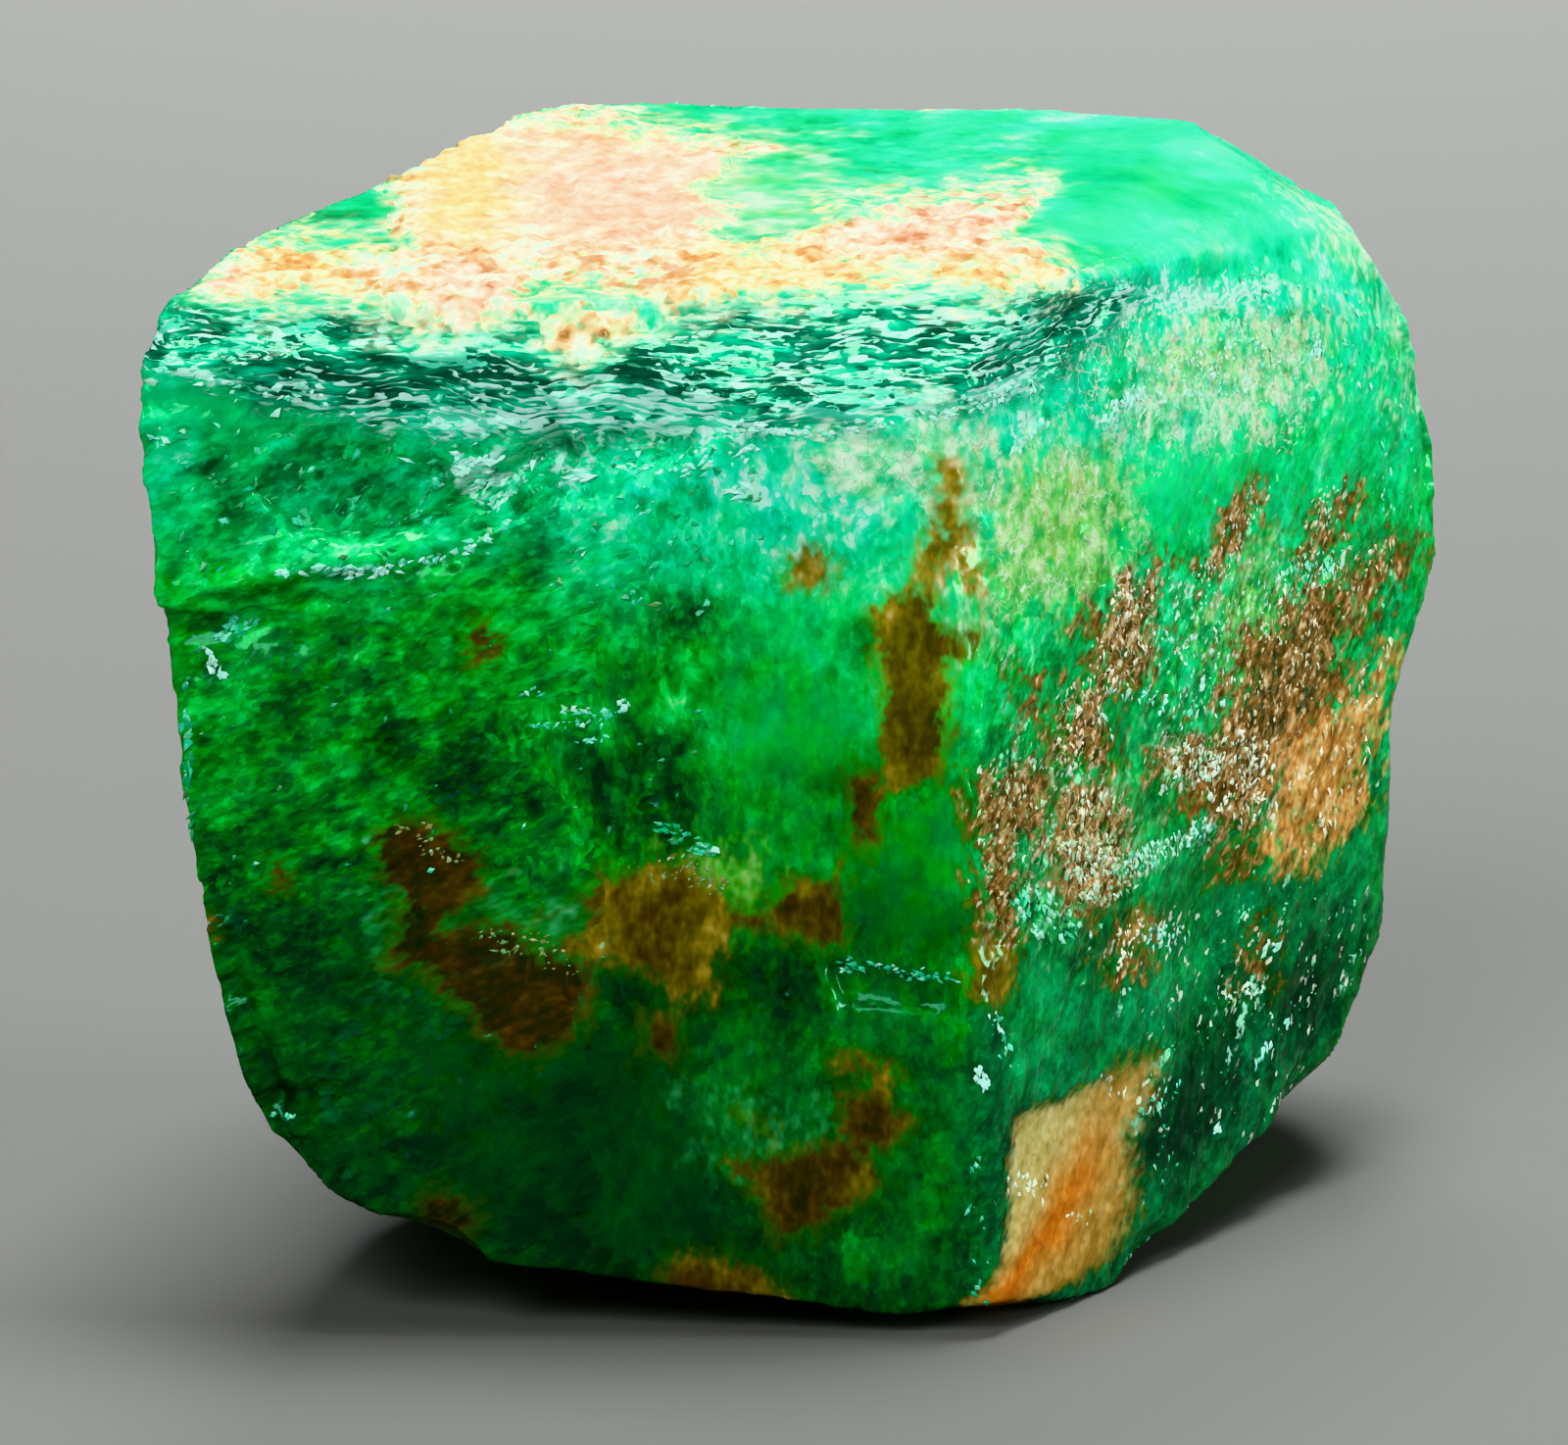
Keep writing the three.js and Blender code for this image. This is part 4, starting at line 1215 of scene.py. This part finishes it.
class Graph:
    """Adds shader nodes to a material, each with its inputs given as values or as other nodes' outputs."""

    def __init__(self, material):
        material.use_nodes = True
        self.nodes = material.node_tree.nodes
        self.links = material.node_tree.links
        self.nodes.clear()

    def put(self, socket, value):
        if isinstance(value, bpy.types.NodeSocket):
            self.links.new(value, socket)
        else:
            socket.default_value = value

    def add(self, kind, inputs, output=0, **settings):
        node = self.nodes.new("ShaderNode" + kind)
        for name, value in settings.items():
            setattr(node, name, value)
        for name, value in inputs.items():
            self.put(node.inputs[name], value)
        return node.outputs[output]

    def math(self, operation, one, other=0.0):
        return self.add("Math", {0: one, 1: other}, operation=operation)

    def fold(self, operation, values):
        """One operation over all the values, two at a time."""
        return reduce(lambda one, other: self.math(operation, one, other), values)

    def sum(self, *values):
        return self.fold("ADD", values)

    def times(self, *values):
        return self.fold("MULTIPLY", values)

    def most(self, *values):
        return self.fold("MAXIMUM", values)

    def sway(self, value, amount):
        """A value's way from one half, times an amount."""
        return self.times(self.centred(value), amount)

    def scaled(self, vector, scale):
        return self.add("VectorMath", {"Vector": vector, "Scale": scale}, operation="SCALE")

    def along(self, vector, axes, scales):
        """The vector measured along three directions, each in its own scale."""
        parts = {}
        for name, axis, scale in zip("XYZ", axes, scales):
            inputs = {0: vector, 1: tuple(unit(axis) * scale)}
            parts[name] = self.add("VectorMath", inputs, output="Value", operation="DOT_PRODUCT")
        return self.add("CombineXYZ", parts)

    def split(self, vector):
        """The three numbers in a vector or colour, and the vector itself."""
        node = self.nodes.new("ShaderNodeSeparateXYZ")
        self.links.new(vector, node.inputs[0])
        triple = Triple(node.outputs)
        triple.vector = vector
        return triple

    def colours(self, vector, scale, detail, roughness):
        """Three independent noises."""
        inputs = {"Vector": vector, "Scale": scale, "Detail": detail, "Roughness": roughness}
        return self.split(self.add("TexNoise", inputs, output="Color"))

    def cells(self, vector, scale):
        """The distance to the middle of a point's angular cell, and the cell's own tints."""
        node = self.nodes.new("ShaderNodeTexVoronoi")
        node.distance = "MANHATTAN"
        self.links.new(vector, node.inputs["Vector"])
        node.inputs["Scale"].default_value = scale
        return node.outputs["Distance"], self.split(node.outputs["Color"])

    def blocks(self, vector, size):
        """The three numbers of the block of space that a point lies in."""
        corner = self.add("VectorMath", {0: vector, 1: (size, size, size)}, operation="SNAP")
        return self.split(self.add("TexWhiteNoise", {"Vector": corner}, output="Color"))

    def shaken(self, vector, noises, amount):
        """The vector moved by three noises."""
        moved = self.add("VectorMath", {0: noises.vector, 1: (0.5, 0.5, 0.5)}, operation="SUBTRACT")
        return self.add("VectorMath", {0: vector, 1: self.scaled(moved, amount)}, operation="ADD")

    def switch(self, weight):
        return self.math("GREATER_THAN", weight, 0.5)

    def centred(self, value):
        return self.math("SUBTRACT", value, 0.5)

    def step(self, value, low, high, amount=1.0):
        """0 at low, an amount at high and smooth between them."""
        inputs = {"Value": value, "From Min": low, "From Max": high, "To Max": amount}
        return self.add("MapRange", inputs, interpolation_type="SMOOTHSTEP")

    def mix(self, factor, one, other, kind="RGBA"):
        """From one value, at a factor of 0, to the other, at 1."""
        node = self.nodes.new("ShaderNodeMix")
        node.data_type = kind
        first, output = MIX_SOCKETS[kind]
        for index, value in ((0, factor), (first, one), (first + 1, other)):
            self.put(node.inputs[index], value)
        return node.outputs[output]

    def blend(self, factor, one, other):
        return self.mix(factor, one, other, "FLOAT")

    def mix_vector(self, factor, one, other):
        return self.mix(factor, one, other, "VECTOR")

    def ramp(self, value, stops):
        node = self.nodes.new("ShaderNodeValToRGB")
        self.put(node.inputs[0], value)
        elements = node.color_ramp.elements
        while len(elements) < len(stops):
            elements.new(1)
        for element, (place, colour) in zip(elements, stops):
            element.position = place
            element.color = colour
        return node.outputs[0]

    def triple(self, name):
        """Three numbers that the mesh holds."""
        return self.split(self.add("Attribute", {}, output="Vector", attribute_name=name))

    def close(self, surface_inputs, volume=None):
        """Ends the material in a surface, and in what fills it."""
        output = self.nodes.new("ShaderNodeOutputMaterial")
        self.links.new(self.add("BsdfPrincipled", surface_inputs), output.inputs["Surface"])
        if volume:
            self.links.new(volume, output.inputs["Volume"])


class Surface:
    """The stone's marks and patterns, as the outputs of one material's nodes."""

    def __init__(self, graph):
        self.graph = graph
        self.place = graph.scaled(graph.add("TexCoord", {}, output="Object"), 1 / MM)
        self.crust, self.yellow, self.pink = graph.triple("crust_marks")
        self.brown, self.streak_brown, self.orange = graph.triple("stain_marks")
        self.haze, self.olive, self.painted_glare = graph.triple("haze_marks")
        # Painted light and shade, painted ridge highlights and hollow shade, and rust
        self.light, self.ridge, self.rust = graph.triple("light_marks")
        self.bevel, self.fresh, self.streaks = graph.triple("kind_marks")
        self.busy, self.grassy, self.kind = graph.triple("detail_marks")
        self.brown_tone, self.flame, self.ochre = graph.triple("tone_marks")
        self.grainy, self.pale, self.shadow = graph.triple("grain_marks")
        self.grained = self.grain_direction()
        self.lines = graph.colours(self.grained, 1, 2, 0.6)
        self.fine = graph.colours(self.grained, 2.3, 1, 0.6)
        self.flake_tints = graph.blocks(graph.shaken(self.grained, self.lines, 2.6), 1.5)
        upright = graph.along(self.place, STREAK_AXES, (0.75, 1.25, 1.0))
        self.grain_distance, self.grain_tints = graph.cells(graph.shaken(upright, self.fine, 0.14), 11)

    def grain_direction(self):
        """Coordinates that run with the grain of each kind of surface."""
        graph = self.graph
        upright = graph.along(self.place, LEVEL_AXES, (5, 5, 3.2))
        leaning = graph.along(self.place, LEANING_AXES, (3.0, 5.5, 4))
        slant = graph.along(self.place, STREAK_AXES, (4, 6, 5))
        layers = graph.along(self.place, LEVEL_AXES, (2.2, 2.2, 8))
        crusty = graph.scaled(self.place, 3.0)
        direction = graph.mix_vector(graph.switch(self.kind), upright, leaning)
        direction = graph.mix_vector(graph.switch(self.streaks), direction, slant)
        direction = graph.mix_vector(graph.switch(self.bevel), direction, layers)
        for limit, scale in ((-0.5, 3.6), (-1.5, 1.7)):
            even = graph.scaled(self.place, scale)
            direction = graph.mix_vector(graph.math("LESS_THAN", self.kind, limit), direction, even)
        return graph.mix_vector(graph.math("GREATER_THAN", self.crust, -0.05), direction, crusty)

    def edge(self, field, width, coarse=0.0, fine=0.16):
        """A mark's mask: how ragged its outline is, in a coarse and a fine way, and how soft."""
        graph = self.graph
        moved = graph.sum(field, graph.sway(self.lines[1], coarse),
                          graph.sway(self.fine[1], fine))
        return graph.step(moved, -width, width)


def green_colour(surface):
    """The stone itself: deep green to mint on the painted light and shade, in soft clouds with small crisp
    flakes in them.
    """
    graph = surface.graph
    pattern = graph.sum(
        graph.sway(surface.lines[0], 0.62),
        graph.sway(surface.flake_tints[0], 0.12),
        graph.sway(surface.grain_tints[2], 0.08),
        graph.step(surface.fine[0], 0.53, 0.57, 0.10),
        graph.step(surface.fine[1], 0.54, 0.59, -0.06),
        graph.step(surface.flake_tints[1], 0.86, 0.90, 0.08),
        # painted highlight on ridges and painted shade in hollows
        graph.times(surface.ridge, 0.05),
    )
    value = graph.sum(
        surface.light,
        graph.times(pattern, graph.sum(surface.busy, 0.15)),
        graph.sway(surface.fine[2], 0.12),
    )
    hue = graph.sum(surface.grassy, graph.sway(surface.lines[2], 0.9))
    return graph.mix(hue, graph.ramp(value, DEEP_TO_MINT), graph.ramp(value, GRASS))


def bevel_colour(surface, colour):
    """Dark glassy growth layers, each ending in a thin pale lip of painted highlight with painted shade just
    past it, broken into short lengths; painted glare in broad places.
    """
    graph = surface.graph
    painted_glare_mask = surface.edge(surface.painted_glare, 0.09, 0.4, 0.3)
    shaded = graph.step(surface.shadow, -0.10, 0.10)
    place = graph.split(surface.place)
    aside = graph.sum(place[0], BEND_MIDDLE)
    height = graph.sum(place[2], graph.times(aside, aside, -BEND))
    waves = graph.add("TexNoise", {"Vector": surface.place, "Scale": 1.1, "Detail": 1, "Roughness": 0.4})
    count = graph.sum(graph.times(height, LAYERS_PER_MM), graph.times(waves, 5.0),
                      graph.times(surface.lines[0], 3.0))
    rise = graph.math("FRACT", count)
    broken = graph.sum(graph.times(surface.lines[1], 0.6), graph.times(surface.fine[1], 0.4))
    solid = graph.times(painted_glare_mask, graph.math("SUBTRACT", 1.0, surface.bevel))
    starts = graph.sum(2.52, graph.times(broken, -3.7), graph.times(painted_glare_mask, -0.30),
                       graph.times(solid, -0.2), graph.times(shaded, 0.10))
    beyond = graph.math("SUBTRACT", rise, starts)
    # Each lip, and the pale plates, are painted highlights
    lip = graph.times(graph.step(beyond, -0.04, 0.04),
                      graph.most(graph.step(surface.fine[0], 0.40, 0.47), graph.times(painted_glare_mask, 0.9)))
    plates = graph.sum(surface.flake_tints[1], graph.sway(surface.fine[2], 1.2),
                       graph.times(painted_glare_mask, 0.16), graph.times(shaded, -0.3))
    lip = graph.most(lip, graph.step(plates, 0.85, 0.89))
    # The dark glassy base, with painted shade just past each lip
    shade = graph.sum(surface.lines[2], graph.sway(surface.flake_tints[0], 0.10),
                      graph.times(painted_glare_mask, 0.05), graph.times(shaded, -0.08),
                      graph.step(rise, 0.4, 0.0, -0.10))
    colour = graph.mix(graph.times(surface.bevel, 0.94), colour, graph.ramp(shade, BEVEL_BASES))
    painted_glare = graph.mix(graph.times(graph.step(beyond, 0.0, 0.16), graph.step(surface.fine[2], 0.34, 0.48)),
                      DIM_PAINTED_GLARE, PAINTED_GLARE)
    return graph.mix(graph.times(lip, graph.most(surface.bevel, painted_glare_mask), 0.94), colour, painted_glare)


def hazed_colour(surface, colour):
    """Pale and olive clouds under the skin, with gold in them."""
    graph = surface.graph
    spread = graph.sum(graph.times(surface.lines[1], 0.55), graph.times(surface.fine[0], 0.45))
    # The clouds are lighter and stronger where the painted light is higher
    tone = graph.sum(graph.sway(spread, 1.9), graph.times(surface.light, 0.70), 0.10)
    golden = graph.step(surface.lines[2], 0.54, 0.64, 0.30)
    strength = graph.blend(graph.step(surface.light, 0.15, 0.50), 0.35, 0.88)
    for field, colours in ((surface.haze, HAZES), (surface.olive, OLIVES)):
        cloud = graph.step(graph.sum(field, graph.sway(spread, 1.6)), -0.32, 0.34)
        veil = graph.mix(golden, graph.ramp(tone, colours), GOLD)
        colour = graph.mix(graph.times(cloud, strength), colour, veil)
    return colour


def stained_colour(surface, colour):
    """Brown stains in the cracks, grainy streaks, the orange flap and the ochre patch."""
    graph = surface.graph
    speckle = graph.sum(graph.sway(surface.lines[1], 0.5),
                        graph.sway(surface.fine[2], 0.6))
    halo = graph.times(surface.edge(graph.sum(surface.brown, 0.05), 0.16, 0.3, 0.3), 0.65)
    # The halo is painted paler where the painted light is higher
    colour = graph.mix(halo, colour, graph.mix(graph.step(surface.light, 0.40, 0.70), HALO, PALE_HALO))
    brown = graph.ramp(graph.sum(surface.brown_tone, speckle), BROWNS)
    colour = graph.mix(graph.times(surface.edge(surface.brown, 0.07, 0.22, 0.28), 0.94), colour, brown)

    halo = graph.times(surface.edge(graph.sum(surface.streak_brown, 0.10), 0.12, 0.8, 0.4), 0.5)
    colour = graph.mix(halo, colour, HALO)
    coarse = graph.sum(graph.sway(surface.grain_tints[0], 0.22), graph.times(speckle, 1.2), 0.50)
    streaked = graph.times(surface.edge(surface.streak_brown, 0.11, 0.8, 0.5), 0.92)
    colour = graph.mix(streaked, colour, graph.ramp(coarse, UMBERS))

    fibres = graph.sum(graph.times(surface.lines[0], 0.7), graph.times(surface.fine[0], 0.5), -0.10)
    ochre = graph.times(surface.edge(surface.ochre, 0.16, 0.8, 0.5), 0.94)
    colour = graph.mix(ochre, colour, graph.ramp(fibres, OCHRES))

    smoother = graph.sum(graph.times(fibres, 0.55), graph.times(surface.grain_tints[0], 0.06), 0.19)
    flap = graph.mix(surface.pale, graph.ramp(smoother, FLAP_TANS), graph.ramp(smoother, FLAP_CREAMS))
    flap = graph.mix(surface.flame, flap, graph.ramp(smoother, FLAMES))
    orange = surface.edge(surface.orange, 0.05, 0.0, 0.12)
    colour = graph.mix(orange, colour, flap)
    solid = graph.most(orange, ochre, graph.times(streaked, 0.8))
    return colour, solid


def grained_colour(surface, colour):
    """Small pale grains and cracks on the stone, cream where it is stained."""
    graph = surface.graph
    stained = graph.step(graph.most(surface.streak_brown, surface.brown), -0.12, 0.05)
    pale = graph.mix(stained, GRAIN_PALE, GRAIN_CREAM)
    off = graph.math("ABSOLUTE", graph.centred(surface.fine[2]))
    even = graph.step(graph.math("ABSOLUTE", graph.sum(surface.kind, 1.0)), 0.5, 0.2)
    even = graph.times(even, graph.step(surface.brown, 0.0, -0.12), graph.blend(surface.grainy, 0.35, 1.4))
    crackle = graph.most(graph.times(even, graph.step(surface.lines[1], 0.40, 0.54), 0.9),
                         graph.step(surface.grainy, 0.45, 0.95, 0.5))
    colour = graph.mix(graph.times(graph.step(off, 0.034, 0.014), crackle), colour, pale)
    gap = graph.math("ABSOLUTE", graph.centred(surface.fine[1]))
    colour = graph.mix(graph.times(graph.step(gap, 0.026, 0.010), even, 0.45), colour, CRACK_DARK)
    grain = graph.step(surface.grain_distance, 0.56, 0.42)
    chosen = graph.sum(surface.grain_tints[1], graph.times(surface.grainy, 0.58))
    strength = graph.blend(surface.grain_tints[2], 0.55, 1.0)
    grain = graph.times(grain, graph.step(chosen, 1.02, 1.05), strength)
    return graph.mix(grain, colour, pale)


def crusted_colour(surface, colour):
    """Cream, yellow and pink grains on the top."""
    graph = surface.graph
    grain = graph.sum(graph.sway(surface.grain_tints[0], 0.20),
                      graph.sway(surface.lines[0], 1.4),
                      graph.sway(surface.fine[2], 0.6))
    grain = graph.sum(graph.times(grain, graph.blend(surface.busy, 0.35, 1.5)), 0.52)
    crust = graph.ramp(grain, CREAMS)
    for field, colours in ((surface.yellow, YELLOWS), (surface.pink, PINKS)):
        patch = graph.times(surface.edge(field, 0.25, 0.9, 0.4), 0.85)
        crust = graph.mix(patch, crust, graph.ramp(grain, colours))
    rust = surface.edge(surface.rust, 0.10, 0.5, 0.5)
    crust = graph.mix(graph.times(rust, 0.8), crust, RUST)
    coarse = graph.blend(surface.busy, 0.3, 0.9)
    fringe = surface.edge(graph.sum(surface.crust, 0.16), 0.22, coarse, 0.4)
    colour = graph.mix(graph.times(fringe, 0.65), colour, graph.ramp(surface.fine[2], FRINGES))
    grainy = graph.sum(surface.crust, graph.sway(surface.grain_tints[1], 0.16))
    mask = surface.edge(grainy, 0.16, coarse, graph.blend(surface.busy, 0.1, 0.7))
    return graph.mix(mask, colour, crust), mask


def stone_normal(surface):
    """Flakes and grains that each glint their own way, with fine roughness on them."""
    graph = surface.graph
    flakes = graph.sum(0.06, graph.times(surface.fresh, 0.16), graph.times(surface.bevel, 0.30),
                       graph.times(surface.busy, 0.12))
    grains = graph.sum(0.03, graph.times(surface.grainy, 0.35), graph.times(surface.bevel, 0.10),
                       graph.step(surface.crust, -0.05, 0.05, 0.5))
    slanting = graph.step(surface.kind, -2.0, -1.0)
    normal = graph.add("NewGeometry", {}, output="Normal")
    for tints, amount in ((surface.flake_tints, flakes), (surface.grain_tints, grains),
                          (surface.lines, graph.blend(slanting, 0.12, 0.40)),
                          (surface.fine, graph.blend(slanting, 0.10, 0.35))):
        normal = graph.shaken(normal, tints, amount)
    return graph.add("VectorMath", {0: normal}, operation="NORMALIZE")


def emerald_material():
    material = bpy.data.materials.new("emerald")
    graph = Graph(material)
    surface = Surface(graph)
    colour = bevel_colour(surface, green_colour(surface))
    colour = hazed_colour(surface, colour)
    colour, solid = stained_colour(surface, colour)
    colour, crust = crusted_colour(surface, grained_colour(surface, colour))
    solid = graph.most(solid, crust)

    clear = graph.times(graph.math("SUBTRACT", 1.0, solid), CLEARNESS)
    rough = graph.sum(ROUGHNESS, graph.times(surface.fresh, -0.06), graph.times(surface.bevel, -0.06),
                      graph.times(solid, 0.5), graph.sway(surface.lines[1], 0.3))
    inside = graph.add("VolumeAbsorption", {"Color": linear(*LEFT_INSIDE), "Density": ABSORPTION})
    graph.close({
        "Base Color": colour, "Roughness": rough, "Normal": stone_normal(surface),
        "Transmission Weight": clear, "IOR": REFRACTION,
        "Specular IOR Level": REFLECTION, "Specular Tint": REFLECTION_TINT,
    }, inside)
    return material


def chip_material():
    """Chips pale as painted glints and grains: mint or cream, each with its own strength, and a little
    uneven.
    """
    material = bpy.data.materials.new("painted_glint_and_grain_chips")
    graph = Graph(material)
    cream, bright, own = graph.triple("chip_marks")
    place = graph.add("TexCoord", {}, output="Object")
    fine = graph.add("TexNoise", {"Vector": place, "Scale": 30 / MM, "Detail": 1})
    level = graph.sum(bright, graph.sway(own, 0.3), graph.sway(fine, 0.5))
    colour = graph.mix(cream, graph.ramp(level, CHIP_MINTS), graph.ramp(level, CHIP_CREAMS))
    rough = graph.sum(0.22, graph.times(own, 0.3))
    graph.close({"Base Color": colour, "Roughness": rough, "IOR": REFRACTION})
    return material


# Floor and light

def limit_bounces():
    for name, count in BOUNCES.items():
        setattr(bpy.context.scene.cycles, name, count)


def make_floor():
    mesh = bpy.data.meshes.new("floor")
    half = FLOOR_HALF
    corners = [(-half, -half, 0), (half, -half, 0), (half, half, 0), (-half, half, 0)]
    mesh.from_pydata(corners, [], [(0, 1, 2, 3)])
    material = bpy.data.materials.new("pale_floor")
    Graph(material).close({"Base Color": linear(*FLOOR_COLOUR), "Roughness": FLOOR_ROUGHNESS})
    mesh.materials.append(material)
    new_object("floor", mesh)


def make_lamps():
    for name, place, size, power, target, spread in LAMPS:
        lamp = bpy.data.lights.new(name, "AREA")
        lamp.shape = "RECTANGLE"
        lamp.size, lamp.size_y = size
        lamp.energy = power
        lamp.spread = math.radians(spread)
        light = new_object(name, lamp)
        light.location = place
        towards = Vector(target) - Vector(place)
        light.rotation_euler = towards.to_track_quat("-Z", "Y").to_euler()


def make_world():
    world = bpy.data.worlds.new("studio")
    world.use_nodes = True
    background = world.node_tree.nodes["Background"]
    background.inputs["Color"].default_value = ROOM_COLOUR
    background.inputs["Strength"].default_value = ROOM_STRENGTH
    bpy.context.scene.world = world


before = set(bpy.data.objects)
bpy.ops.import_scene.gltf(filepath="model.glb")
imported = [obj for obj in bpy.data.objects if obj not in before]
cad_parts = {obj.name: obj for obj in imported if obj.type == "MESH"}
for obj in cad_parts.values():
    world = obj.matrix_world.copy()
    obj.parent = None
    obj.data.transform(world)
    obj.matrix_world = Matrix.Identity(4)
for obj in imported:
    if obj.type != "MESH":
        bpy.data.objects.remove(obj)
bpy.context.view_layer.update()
make_camera()
crystal, chips = build_crystal(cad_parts["emerald_crystal"])
crystal.data.materials.append(emerald_material())
chips.data.materials.append(chip_material())
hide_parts("emerald_crystal")
for piece in (crystal, chips):
    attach(piece, "root")
make_floor()
make_lamps()
make_world()
limit_bounces()
bpy.context.scene.view_settings.view_transform = "Khronos PBR Neutral"
